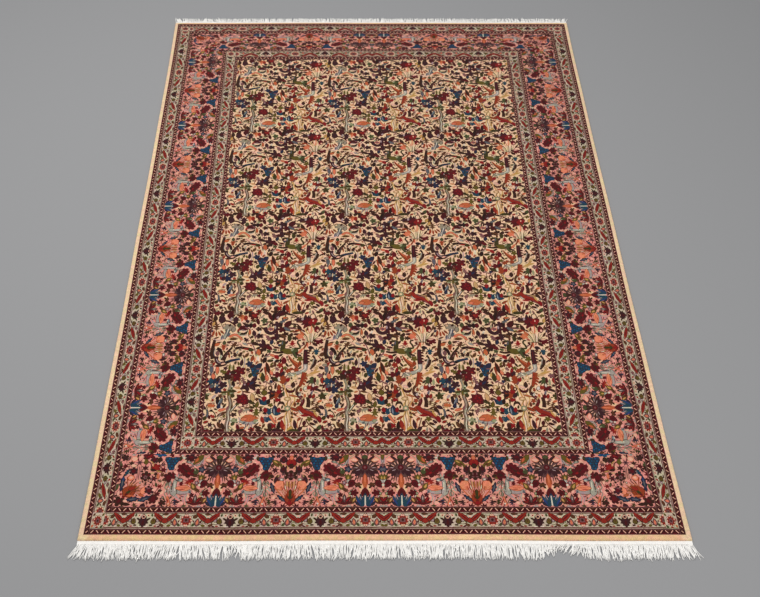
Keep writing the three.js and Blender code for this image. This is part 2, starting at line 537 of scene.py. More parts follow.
# The four corner squares of a band: outer corner, along the end, along the side, inner corner.
def cornersOf(outer, inner):
    squares = []
    for out, into in zip(lineEnds(outer), lineEnds(inner)):
        outX, turnX, inX = halfWidthAt(outer, out), halfWidthAt(outer, into), halfWidthAt(inner, into)
        places = ((outX, out), (inX, out), (turnX, into), (inX, into))
        for side in (-1, 1):
            squares.append([(side * x, y) for x, y in places])
    return squares


# The field: one garden repeat, three across and four along. The chart gives its twigs and stems, then the
# motifs of one part of the repeat after another.
fieldChart = """
stone line 15-9 92 -6 90 30 94 60 90 84 96 104 98 124 91 150 88 176 93 200 86 226 82 240
brown line 2.5 88 0 86 28 89 56 84 82 92 104 93 124 86 150 84 176
white line 3 93 4 91 30 96 56 93 78 98 100, tan line 2.5 95 150 92 176 97 198 91 222
brown line 3 98 6 96 32 99 58 95 80 101 102 103 124 95 150, stone line 6-4 99 84 108 100 120 118
brown line 2.5 101 80 112 98 124 116, white line 3 104 94 112 106 118 116
stone line 5-3 96 26 108 16 122 4, brown line 3 88 84 70 78 54 66, brown leaf 68 76 36 10 32
stone line 4 66 78 56 62 50 44, stone line 4-3 64 62 72 58 68 50, oliveDark line 3 104 124 106 108 102 96
umber leaf 76 22 30 10 110, brown leaf 62 28 26 11 120, umber leaf 52 6 20 13 20
umber leaf 68 6 22 10 -30, brown leaf 78 4 16 9 60, stone leaf 100 8 12 7 80
gold line 4-6 303 -4 305 30 301 60 308 84 304 112 314 136 308 160 300 184 292 206
tan line 5 318 22 321 58 316 92 323 128 318 152 312 180
brown line 2.5 313 0 314 40 309 70 314 100 310 126 318 150
gold line 5-4 331 -4 326 36 331 74 326 106 338 138 330 160 318 196, white line 3 308 4 310 36 306 60
white line 3 325 12 321 36, brown line 2.5 324 40 326 76 320 104 330 130
sage/-/ground oval 311 100 18 18 0, tan/-/ground oval 309 142 14 20 90, gold/olive leaf 327 12 26 14 90
gold leaf 318 10 20 8 70, tan line 3 300 184 296 206 282 220, tan line 3 312 180 322 210 318 226
brown line 2.5 50 512 68 508 84 496 92 484, brown line 3 148 470 146 440 158 420 166 400
mauve line 5-4 160 402 170 384 177 362 180 344, brown line 3 122 432 118 414 112 402
umber line 9-12 98 374 118 380 140 376 164 370, brown line 3 140 236 130 214 124 200 132 184
oliveDark line 3 258 140 263 118 268 100, brown line 4-3 270 62 268 36
brown line 3 228 216 226 196 232 180, maroon line 5-3 236 290 238 256 252 224 264 212
brown line 3 290 196 286 216 292 226, brown line 3 385 168 388 146, tan line 3 400 178 404 192
brown line 4 340 468 360 452 374 434, tan line 3 205 550 196 532 206 520
brown line 3 176 500 184 520 190 546, mauve line 3 296 384 312 391 332 380, brown line 3 14 536 4 552
tan line 3 44 150 30 162 20 156, brown line 2.5 153 266 150 244, tan line 3 142 304 146 270 142 240
brown line 2.5 405 345 396 330, tan line 3 24 128 16 140 8 134, brown line 2.5 196 170 206 186 200 200
brown line 3 222 38 224 20 218 6, brown line 3 205 318 214 336 206 352, brown line 2.5 108 345 110 362

brick/umber leaf 12 41 20 11 25, plum/dark star 28 29 26 26 10, brown leaf 46 24 22 7 -60
white oval 40 24 6 5 0, slate/brown line 8-5 14 60 16 78 12 96, oliveDark leaf 7 58 16 11 70
maroon leaf 23 62 17 9 100, oliveDark line 5-4 20 88 34 87 43 77 48 60, dark leaf 28 91 12 8 20
brown/umber leaf 43 50 20 10 -6, brown line 4-3 40 123 20 123 9 114 14 98
orange/brown vine 26 112 28 24 0, tan leaf 22 104 16 5 0, dark/navy leaf 49 132 36 13 100
slate/dark leaf 62 134 30 12 80, greyBlue line 4-3 62 142 54 124 50 106, navy leaf 55 110 20 12 70
white leaf 66 106 16 7 120, umber leaf 76 112 22 8 62, dark leaf 47 146 12 10 90
salmon/rust leaf 68 94 30 12 18, mauve leaf 88 102 22 8 68, lilac leaf 34 152 22 9 50
sage leaf 14 164 18 8 0, wine leaf 3 14 26 9 95, stone/umber leaf 14 8 22 13 10
umber/plum rose 112 73 22 17 10, white leaf 105 49 22 8 95, sage/moss rose 117 47 24 22 0
dark oval 124 50 5 5 0, dark oval 128 38 5 5 0, moss leaf 112 34 16 10 60
lilac line 5-4 132 62 138 46 134 30, white line 3 128 56 131 40, mauve/brown line 5 137 68 132 80 130 92
mauve/brown vine 138 89 22 18 60, stone/brown frond 160 94 34 26 20, brown leaf 160 103 26 6 5
grey/slate leaf 170 41 66 20 -4, orange/rust leaf 173 58 58 28 0, salmon leaf 152 53 22 11 10
slate leaf 154 38 12 7 30, mauve leaf 168 30 20 5 70, lilac leaf 180 30 22 5 110
sage/slate rose 195 44 19 17 0, white leaf 203 39 10 7 40, slate line 4 160 34 160 20 154 8
grey line 4 176 30 172 16 178 4, wine/mauve leaf 131 19 28 13 105, orange/brown leaf 147 16 18 11 20
umber leaf 148 5 22 11 -10, red/maroon rose 182 10 22 18 0, umber frond 182 2 28 14 90
brown leaf 198 28 28 7 48, umber leaf 206 17 24 10 -12, brick/brown leaf 221 50 30 12 108
brown leaf 226 25 18 8 60, olive/oliveDark maple 196 80 36 28 90, olive leaf 197 117 26 11 80
umber/olive leaf 178 105 22 10 -15, olive leaf 212 106 22 7 8, oliveDark leaf 186 112 16 7 -50
moss leaf 124 122 16 10 60, wine/maroon vine 141 140 52 50 -45, wine drop 143 139 42 36 -45
red oval 134 144 6 6 0, red oval 148 146 6 6 0, red oval 141 132 6 6 0, red oval 152 134 6 6 0
red oval 138 154 6 6 0, red oval 150 124 5 5 0, oliveDark leaf 176 126 26 10 -20
tan/brown leaf 178 149 38 17 100, dark leaf 172 134 12 6 -30

teal/navy tulip 224 130 28 38 90, red/wine drop 222 142 22 16 -90, dark leaf 239 130 22 10 80
navy leaf 208 134 18 8 100, teal/navy rose 244 88 26 34 90, red/wine leaf 229 93 22 15 100
dark leaf 228 78 18 8 -20, white oval 253 91 14 5 90, navy/plum leaf 265 92 42 20 95
teal leaf 274 77 26 12 10, red/wine leaf 279 93 22 14 85, greyBlue leaf 262 88 26 5 95
teal/navy rose 237 53 22 30 90, brick/rust leaf 219 52 26 12 100, greyBlue line 3 226 70 236 68 244 72
slate leaf 230 56 14 7 90, salmon/rust line 10-7 246 70 257 52 270 34
salmon line 4-3 266 60 272 46 278 36, rust/brown leaf 288 58 30 10 35, red/wine rose 260 24 24 20 0
mauve/maroon leaf 248 31 18 11 40, umber vine 248 9 40 22 90, dark/umber leaf 281 24 38 13 85
brick/wine leaf 294 29 42 15 100, orange leaf 304 14 26 7 85, umber leaf 268 8 20 10 20
brown leaf 236 8 18 9 -30, umber/oliveDark bowl 287 118 22 24 -90, oliveDark leaf 291 106 16 7 80
umber/brown leaf 296 88 24 12 0, red/maroon rose 273 137 24 17 0, umber leaf 250 149 18 12 70
brown leaf 262 128 16 6 75, wine/maroon line 13-10 350 156 365 144 368 128 358 106
mauve line 4 354 153 364 142 365 126, rust/brown leaf 350 99 28 15 62, rust/umber leaf 337 95 34 12 -28
salmon line 5-3 336 84 344 70 354 62, white/slate leaf 361 86 24 12 112, dark leaf 369 93 16 9 70
mauve/plum leaf 380 92 28 13 -10, brick/maroon line 14-20 357 108 366 92 380 82
brick/maroon line 20-17 374 84 392 78 410 66, red leaf 376 68 30 9 -4, brown/umber leaf 407 91 42 12 -4
tan leaf 406 91 26 4 -4, brick/maroon line 17-8 406 68 424 56 436 38, mauve line 4 382 92 398 87 416 76
wine line 3.5 374 78 392 71 410 58, mauve line 3 404 66 420 50, umber leaf 426 90 26 10 -52
red/wine leaf 430 54 28 16 -60, gold leaf 416 75 28 7 -60, brown line 5-4 368 58 362 36 352 6
brown line 5-4 380 52 391 32 414 10, brown line 3 392 30 384 20 372 24, umber/maroon leaf 405 32 24 10 -22
white leaf 414 21 14 5 -30, plum/maroon leaf 341 30 40 13 100, orange line 3 352 46 349 30 352 14
plum leaf 358 9 28 11 50, brown leaf 376 22 20 6 10, stone leaf 386 8 18 8 80, mauve leaf 398 6 20 7 110
brown leaf 327 80 12 7 60, brown leaf 334 76 12 6 20, brown leaf 330 61 14 7 -20
brown leaf 341 72 15 8 -50, brown/rust leaf 338 117 21 10 90, moss leaf 430 16 24 12 60
umber leaf 420 6 18 10 10, umber/oliveDark line 13-10 387 104 389 128 385 150
brown frond 404 124 24 20 80, brown frond 421 118 26 18 60, brown leaf 412 103 24 7 20
orange leaf 431 131 18 9 20, brown leaf 424 104 16 6 -30, mauve frond 412 138 16 14 70

maroon leaf 7 200 26 9 62, mauve/maroon rose 17 196 20 18 0, red/wine leaf 17 186 17 10 90
brown leaf 22 176 16 6 0, teal/dark rose 19 221 30 27 0, navy/dark rose 41 223 28 25 20
plum/teal rose 62 205 33 29 10, navy/plum rose 45 182 31 30 0, slate/teal leaf 24 200 22 13 50
plum leaf 28 184 22 12 80, greyBlue/teal star 41 203 15 13 0, salmon/maroon leaf 24 245 28 16 95
maroon leaf 26 262 16 6 90, umber line 6-5 41 222 43 240 54 242 61 226, mauve leaf 51 222 18 6 90
salmon/umber leaf 37 276 46 14 92, slate/mauve leaf 14 280 44 15 95, brown leaf 3 256 18 8 80
umber/maroon leaf 48 295 46 11 8, olive leaf 83 286 34 8 86, olive leaf 98 284 30 8 92
sage line 3 90 276 91 296, olive/umber vine 64 263 32 24 150, wine/maroon rose 88 257 37 31 10
lilac oval 87 257 5 9 0, wine/maroon rose 123 269 41 39 0, umber rose 75 241 26 24 0
wine/maroon rose 111 238 36 34 0, red oval 106 240 6 6 0, brown oval 121 275 7 7 0
brick oval 130 262 6 6 0, brown leaf 96 232 20 9 70, dark leaf 102 210 26 10 100
umber leaf 98 262 20 10 0, oliveDark/olive leaf 72 172 30 10 8, sage/olive leaf 71 163 18 10 0
olive leaf 88 167 22 8 90, sage/oliveDark leaf 99 167 18 11 0, oliveDark leaf 101 178 28 11 -10
oliveDark leaf 103 157 16 12 90, moss/sage leaf 97 193 20 10 90, white oval 99 198 6 6 0
tan/orange leaf 121 192 26 9 -12, orange leaf 127 173 16 7 20, mauve line 4-3 132 190 140 174 138 158
rust line 3 127 240 126 222 130 206, brown leaf 156 173 30 8 -14, plum/maroon vine 163 208 50 44 200
plum leaf 181 231 28 14 55, dark/plum leaf 190 203 34 11 -4, plum/maroon leaf 145 194 30 16 200
plum leaf 156 188 20 12 110, plum leaf 180 190 22 11 -60, mauve/umber leaf 144 216 22 12 120
mauve frond 138 230 26 20 110, wine oval 160 210 9 9 0, lilac oval 146 206 7 5 0
navy leaf 172 214 20 8 40, oliveDark/moss leaf 212 240 42 17 98, gold leaf 202 250 20 7 80
tan/-/ground oval 213 194 15 16 0, brown leaf 219 184 14 7 60, maroon/brown maple 198 172 30 30 90
olive/umber leaf 222 170 26 22 90, brown leaf 206 152 20 6 -30, navy bunch 182 272 50 40 90
oliveDark/moss leaf 164 249 22 14 80, navy leaf 196 294 26 16 50, navy/teal rose 158 302 26 24 0
teal leaf 185 262 24 12 90, brown leaf 193 258 16 8 0, maroon leaf 206 272 24 8 60
mauve leaf 195 279 20 5 5, plum leaf 170 292 18 10 60

umber/rust leaf 229 284 52 15 104, rust line 6-4 218 288 222 262 228 240
salmon/rust leaf 228 238 32 13 98, mauve leaf 222 219 18 7 30, mauve leaf 238 211 26 6 -30
brown/umber leaf 246 291 18 11 20, salmon leaf 244 261 22 10 110, tan leaf 248 274 16 8 60
red/maroon leaf 283 268 32 12 82, wine/maroon rose 270 251 34 24 0, plum leaf 288 255 24 12 70
lilac line 3 256 262 262 270 270 268, oliveDark/umber leaf 261 230 34 16 -30
rust/umber vine 290 230 38 32 -90, rust leaf 284 216 18 8 -40, red/rust leaf 308 229 26 15 68
white leaf 274 232 18 7 100, umber leaf 247 238 14 8 60, rust/maroon vine 311 272 32 22 35
slate line 3 302 240 306 254 318 262, stone/slate leaf 328 253 46 15 4, stone leaf 316 246 26 5 50
white leaf 326 250 26 4 -40, sage leaf 342 255 20 7 10, mauve leaf 300 212 20 7 60
tan/brown line 4-3 324 222 332 232 342 228 344 244, tan leaf 336 246 16 6 60
grey/slate line 15-12 373 302 373 276 354 263 338 259, white line 5-3 372 296 372 278 356 265
rust/brown line 18-9 371 262 364 230 354 196, brick line 5-3 366 254 360 210, rust leaf 378 250 18 9 130
rust leaf 376 236 18 9 130, rust leaf 373 223 18 9 130, rust leaf 368 210 16 8 130
gold/tan leaf 409 261 44 11 18, gold leaf 414 274 22 7 40, tan leaf 392 250 26 9 0
mauve/plum rose 431 247 22 20 0, tan frond 416 286 26 16 60, moss/umber maple 400 221 38 36 90
maroon leaf 411 226 26 9 85, sage leaf 421 217 28 9 88, umber leaf 384 216 14 7 30
wine/maroon rose 406 189 38 26 0, brick/rust rose 388 193 18 18 0, white/mauve leaf 405 203 18 10 90
olive line 3 378 200 367 188 374 174 384 178, white leaf 375 190 16 10 70
umber/plum leaf 425 181 26 10 -36, slate/lilac leaf 399 168 22 9 70, sage leaf 416 170 20 5 -20
wine leaf 394 153 18 10 80, brick/maroon leaf 407 153 22 12 75, dark oval 431 181 6 6 0
umber/maroon leaf 329 205 26 15 88, pinkPale/lilac leaf 315 195 24 12 -25
maroon/umber bowl 320 181 22 30 90, brown/umber line 9-6 353 200 344 186 342 166
plum/umber rose 350 163 18 20 0, lilac/white leaf 356 161 12 8 60, orange/brown leaf 332 155 34 8 -16
orange leaf 374 156 17 9 90, tan leaf 368 146 16 5 60, umber/brown leaf 263 200 30 9 84
rust/umber leaf 277 191 32 16 102, brown/-/ground oval 243 191 13 20 0
brown/-/ground oval 287 186 13 13 0, brown leaf 226 190 20 6 60, plum/umber rose 250 169 27 26 0
red/maroon rose 275 171 25 21 0, rust/umber vine 266 156 46 30 0, plum leaf 285 158 24 12 60
moss leaf 295 166 26 6 94, dark leaf 252 156 20 10 30

umber/dark line 9-17 16 418 12 384 10 352 18 326, slate line 3 20 376 17 350 24 336
lilac line 3 24 372 23 350, dark/slate line 12-8 27 376 39 370 47 354 48 340
mauve/plum leaf 32 353 26 13 90, sage/white leaf 45 334 20 9 80
plum/umber line 12-15 30 338 30 318 44 304 66 308, lilac line 3.5 29 326 36 312 48 306
pinkPale leaf 57 303 16 7 20, umber/plum line 5-20 91 390 77 368 64 346 54 318
mauve line 3.5 74 362 62 334, rust leaf 77 344 26 6 98, umber leaf 82 372 16 5 20
umber leaf 76 360 16 6 10, umber leaf 72 348 16 6 0, teal/navy line 12-8 66 307 88 318 120 326
navy leaf 98 320 32 7 12, dark leaf 74 310 18 8 20, brick leaf 20 300 24 9 60, stone leaf 8 296 18 10 0
rust/orange maple 53 384 30 26 -90, moss/umber leaf 54 403 20 13 90, orange/rust leaf 28 396 24 14 40
brown leaf 34 405 20 6 10, brown/umber maple 93 393 30 26 60, mauve line 4 106 407 116 396 128 382
pinkPale leaf 116 400 16 6 -40, umber/brown vine 100 345 22 20 110, umber/brown vine 120 346 22 20 70
grey leaf 108 359 16 6 60, sage line 4 106 332 122 334 132 322, brick leaf 142 373 24 6 0
oliveDark leaf 160 369 20 12 0, dark leaf 112 380 26 8 0, plum leaf 128 308 28 10 85
lilac line 5-4 139 330 139 306 136 284, olive leaf 116 304 18 7 100, brown/tan leaf 146 344 26 14 60
brown leaf 134 338 18 6 110, orange/umber leaf 190 357 32 18 95
umber line 4 178 372 188 376 202 366 202 348, umber leaf 188 378 18 9 30, rust/umber leaf 168 329 30 12 78
salmon leaf 177 322 24 6 86, white leaf 190 330 26 6 95, sage leaf 183 344 14 5 60
umber/dark leaf 175 399 38 14 -24, oliveDark leaf 164 412 18 9 60, maroon/plum rose 214 385 36 30 0
wine leaf 232 378 24 13 -40, umber leaf 205 370 20 12 60, plum leaf 198 392 26 12 160
dark leaf 216 370 18 8 80, plum/dark leaf 206 408 26 14 110, plum/umber rose 190 436 30 23 0
dark oval 192 438 10 8 0, grey/slate leaf 136 397 24 9 -30, mauve leaf 152 400 22 6 10
umber leaf 207 341 20 8 80, umber leaf 220 342 22 9 80, dark leaf 216 320 26 12 70
brown leaf 203 320 22 7 100

oliveDark/umber line 15-17 290 412 285 396 282 362, oliveDark/umber leaf 273 410 32 10 12
maroon leaf 264 402 16 8 50, plum leaf 298 405 20 8 60, slate leaf 281 402 18 5 85
olive/oliveDark leaf 305 361 50 25 -12, umber/oliveDark line 9-6 286 358 264 355 244 360
moss/oliveDark leaf 331 362 34 24 -60, moss/umber line 13-7 328 358 331 344 340 329
umber line 8-6 336 358 342 345 356 341, oliveDark line 6-4 330 376 350 377 347 392 340 403 344 414 353 414
sage leaf 321 370 16 8 60, maroon/brown leaf 260 380 28 9 -14, red/orange maple 320 399 26 26 90
navy/dark leaf 239 407 26 14 80, oliveDark/moss leaf 308 427 34 15 92, umber/brown vine 331 425 28 21 0
mauve/maroon vine 226 425 28 22 120, teal/moss maple 414 361 30 30 -90, dark/navy leaf 393 379 23 14 -12
umber/maroon leaf 408 395 24 12 -40, brown leaf 431 381 20 9 32, rust line 6-4 378 408 374 392 363 372
salmon line 5 381 402 379 380, rust line 4 392 406 388 392, brown line 3 420 400 428 390
salmon/orange leaf 353 364 30 9 52, mauve leaf 358 389 14 6 30
plum/maroon line 13-17 373 370 372 336 374 300, maroon leaf 383 354 15 8 -20, maroon leaf 384 340 15 8 -20
maroon leaf 383 326 15 8 -20, maroon leaf 383 312 15 8 -20, wine line 3 371 360 371 306
rust/brown line 3-24 306 342 320 318 350 290, orange line 3-6 314 332 328 314 346 300
brown line 3 310 332 322 306 338 284, rust leaf 352 304 18 10 100
umber/brown line 6-5 401 342 409 322 396 286, grey line 4 406 326 400 300
umber/brown line 6-5 414 322 410 300 392 276, stone line 3 404 314 392 284
rust line 4-3 420 342 428 330 436 318, brown leaf 401 353 14 6 60, tan leaf 430 300 16 7 60
salmon/red leaf 246 342 24 11 -20, red/brick leaf 262 334 22 16 -50, dark leaf 276 343 20 9 34
brown leaf 282 333 16 5 60, oliveDark/umber leaf 238 317 27 12 6, white oval 253 320 8 8 0
dark leaf 264 316 16 11 30, wine/red leaf 290 318 30 18 95, umber leaf 277 318 20 7 90
brown/umber leaf 256 301 26 10 96, olive leaf 244 302 20 8 60, mauve leaf 229 346 26 6 48
stone leaf 226 336 24 5 10, umber leaf 302 298 24 8 120, sage line 3-2 388 404 386 430 384 452
oliveDark line 3 391 404 392 430 391 452, white line 2.5 394 408 397 430 398 446
oliveDark line 3 383 406 376 428 366 448, sage line 3 380 408 370 428 356 446
sage line 3 398 406 406 428 418 446, oliveDark line 3-2 396 404 410 424 428 440
moss line 3 399 406 402 430 408 452, brown line 3-4 362 408 380 406 402 406
wine/maroon rose 423 410 34 26 0, pinkPale/mauve leaf 422 420 22 10 10, maroon leaf 408 414 16 8 -60

brown/umber frond 18 480 40 34 -90, brown leaf 8 508 26 11 -60, rust leaf 8 450 26 9 80
rust leaf 20 446 24 8 95, rust leaf 32 448 24 8 115, rust/brown leaf 42 455 22 8 -50
umber/dark leaf 11 526 28 15 100, gold leaf 5 496 20 10 70, plum/maroon leaf 38 518 36 25 85
maroon/rust line 6-4 46 512 66 509 84 496 94 484, umber leaf 30 534 20 7 60
wine/maroon vine 20 550 38 26 0, umber leaf 38 544 20 11 -50, maroon/wine leaf 70 540 40 23 80
lilac leaf 74 520 20 8 80, pinkPale line 3 52 540 60 526 66 518, plum/dark vine 92 515 36 32 -90
moss/umber leaf 107 491 24 16 85, umber leaf 84 538 16 6 60, umber line 3 35 496 41 484 48 474
umber line 3 50 500 54 488 60 478, stone/brown rose 64 477 38 33 0, stone/umber leaf 86 469 28 16 80
slate/grey line 14-13 66 468 60 446 50 422, white line 4-3 66 472 60 446 53 424, slate leaf 70 442 22 7 70
grey leaf 56 440 22 7 64, lilac line 5-3 50 424 34 416 20 417 8 425, brown leaf 22 427 22 7 24
slate/lilac leaf 43 431 24 9 80, umber leaf 70 490 14 9 60
salmon/rust line 11-6 72 430 90 443 108 436 124 416, brown/olive leaf 88 422 34 12 0
tan line 3 66 416 82 430 104 428 118 414, maroon/wine fan 125 474 28 36 90
dark/moss bowl 122 454 22 36 90, lilac line 3 108 460 122 466 138 458, grey line 4 108 441 124 438 140 443
sage leaf 110 449 14 8 20, brick leaf 106 466 16 8 60, orange/rust rose 119 531 30 20 0
brick/rust leaf 131 527 24 15 80, salmon leaf 118 518 20 8 70, brown leaf 104 539 24 9 -20
umber/dark leaf 130 552 20 14 60, maroon/brick rose 162 537 37 34 0, red leaf 168 538 20 13 60
brick oval 160 540 10 10 0, umber leaf 147 548 18 8 60, dark/navy vine 152 488 40 27 180
wine/maroon leaf 167 488 22 15 80, umber leaf 130 495 26 9 -36, mauve leaf 142 474 26 6 -30
maroon/umber leaf 180 509 32 13 105, brown/umber rose 162 513 20 17 0, sage leaf 157 504 12 8 0
orange/rust leaf 151 455 28 9 92, plum/umber leaf 168 450 28 15 100, umber/plum rose 186 471 23 20 0
brown leaf 202 473 20 7 -50, white leaf 190 455 14 7 60, mauve leaf 174 432 20 7 90
moss/sage rose 206 513 26 27 0, umber leaf 208 494 24 9 20, stone leaf 198 535 28 7 50
umber/maroon leaf 214 551 38 15 -20, pinkPale line 3 192 556 206 544 220 532

dark/umber leaf 243 535 50 17 76, plum/maroon leaf 262 543 46 18 60, maroon/plum leaf 280 549 42 17 25
maroon/umber leaf 228 534 40 14 112, lilac leaf 258 528 14 8 60, wine leaf 252 520 16 8 0
umber leaf 305 545 50 9 -16, oliveDark leaf 336 553 40 12 5, orange/brown leaf 286 527 24 10 10
plum/dark line 14 210 480 217 458 234 449 250 459 254 482, mauve leaf 226 474 22 7 60
mauve/salmon rose 234 470 20 16 0, sage leaf 222 484 16 6 100, umber leaf 238 488 18 6 80
umber leaf 228 490 16 6 100, plum/maroon rose 258 492 30 30 0, lilac leaf 250 479 16 6 90
dark/umber leaf 273 494 28 12 80, slate/dark vine 281 511 32 17 34, maroon/plum rose 276 469 30 28 0
pinkPale leaf 285 496 14 8 30, maroon/umber leaf 300 496 38 23 55, umber leaf 324 495 34 8 -4
brown line 3 310 524 314 508, slate/dark leaf 297 470 34 15 -36, mauve/maroon leaf 317 475 38 9 -6
umber leaf 278 520 14 6 100, olive/brown leaf 316 460 18 9 30, plum/umber vine 257 431 34 31 90
umber leaf 276 436 24 11 -40, maroon leaf 245 428 20 10 20, umber/maroon rose 292 446 24 19 0
brown leaf 284 437 30 8 -22, brown leaf 289 424 22 8 90, umber leaf 314 442 18 10 70
maroon leaf 258 455 20 8 90, umber/brown leaf 345 476 34 15 112, umber/rust leaf 331 458 24 9 10
maroon/umber leaf 337 445 30 10 0, salmon/orange rose 349 434 27 24 0, rust leaf 340 464 24 8 -10
orange leaf 357 448 24 9 -50, maroon leaf 362 462 18 7 -40, plum/umber rose 341 517 30 25 0
lilac leaf 357 523 16 8 90, plum/umber leaf 368 526 36 13 88, brown leaf 350 506 26 8 0
maroon leaf 362 498 22 9 30, wine/maroon rose 388 508 56 43 0, red/brick rose 399 504 32 31 0
maroon/wine leaf 372 492 30 14 70, pinkPale oval 399 512 5 8 0
umber line 4 386 526 390 544 404 546 408 528, white line 3 391 526 392 534
brown line 4 410 526 418 538 428 526, plum leaf 380 532 20 7 80, oliveDark/umber leaf 420 498 26 13 14
gold leaf 436 515 22 11 70, brown leaf 400 486 26 9 -70, orange line 3 378 484 382 462 386 448
salmon line 5 394 486 392 466 391 450, gold line 4 362 486 368 468 380 446, gold line 3 400 474 396 456
wine/umber leaf 415 470 34 21 95, pinkPale leaf 418 463 12 8 90, red leaf 409 462 14 6 60
brown leaf 432 478 26 7 80, umber/brown leaf 428 444 26 8 60, brown leaf 376 470 18 7 80
wine leaf 366 482 20 8 60, brown leaf 330 534 24 6 30, mauve leaf 218 500 22 6 70
olive leaf 228 508 16 6 40, brown leaf 296 520 16 6 60
"""

field = {
    "width": 440.0,
    "height": 550.0,
    "line": 8,
    "across": 3,
    "along": 4,
    "cell": 40,
    "grow": 1.19,
    "least": 4.5,
    "tones": "plum brown maroon umber umber wine brown oliveDark moss brick navy plum rust olive rust "
             "mauve",
    "seed": 5,
}


# The outlines, with a copy on the other side of the repeat of each one that crosses a side.
def wrapped(outlines, width, height):
    found = []
    for tone, shape in outlines:
        low, high = shape.min(0), shape.max(0)
        for i in (-1, 0, 1):
            for j in (-1, 0, 1):
                shift = np.array([i * width, j * height])
                if (high + shift > 0).all() and (low + shift < [width, height]).all():
                    found.append((tone, shape + shift))
    return found


# Three columns of repeats, each a piece of its own.
def fieldPieces():
    w, h = field["width"], field["height"]
    charted = wrapped(outlinesOf(fieldChart, field["grow"]), w, h)
    small = wrapped(sprigs(charted, w, h, True, field), w, h)
    repeat = woven(small + charted, w, h, "ground", field["cell"])
    print("field repeat:", len(small) + len(charted), "outlines,", len(repeat["triangles"]), "triangles")
    near, far = lineEnds(field["line"])
    nearX, farX = halfWidthAt(field["line"], near), halfWidthAt(field["line"], far)
    across, along = field["across"], field["along"]
    pieces = []
    for i in range(across):
        left, right = 2 * i / across - 1, 2 * (i + 1) / across - 1
        corners = [(nearX * left, near), (nearX * right, near), (farX * left, far), (farX * right, far)]
        rows = [(repeat, 0, 1, j / along, (j + 1) / along) for j in range(along)]
        pieces.append(patternedPile("field" + "ABC"[i], [laidOver(corners, rows)]))
    return pieces


fieldObjects = fieldPieces()

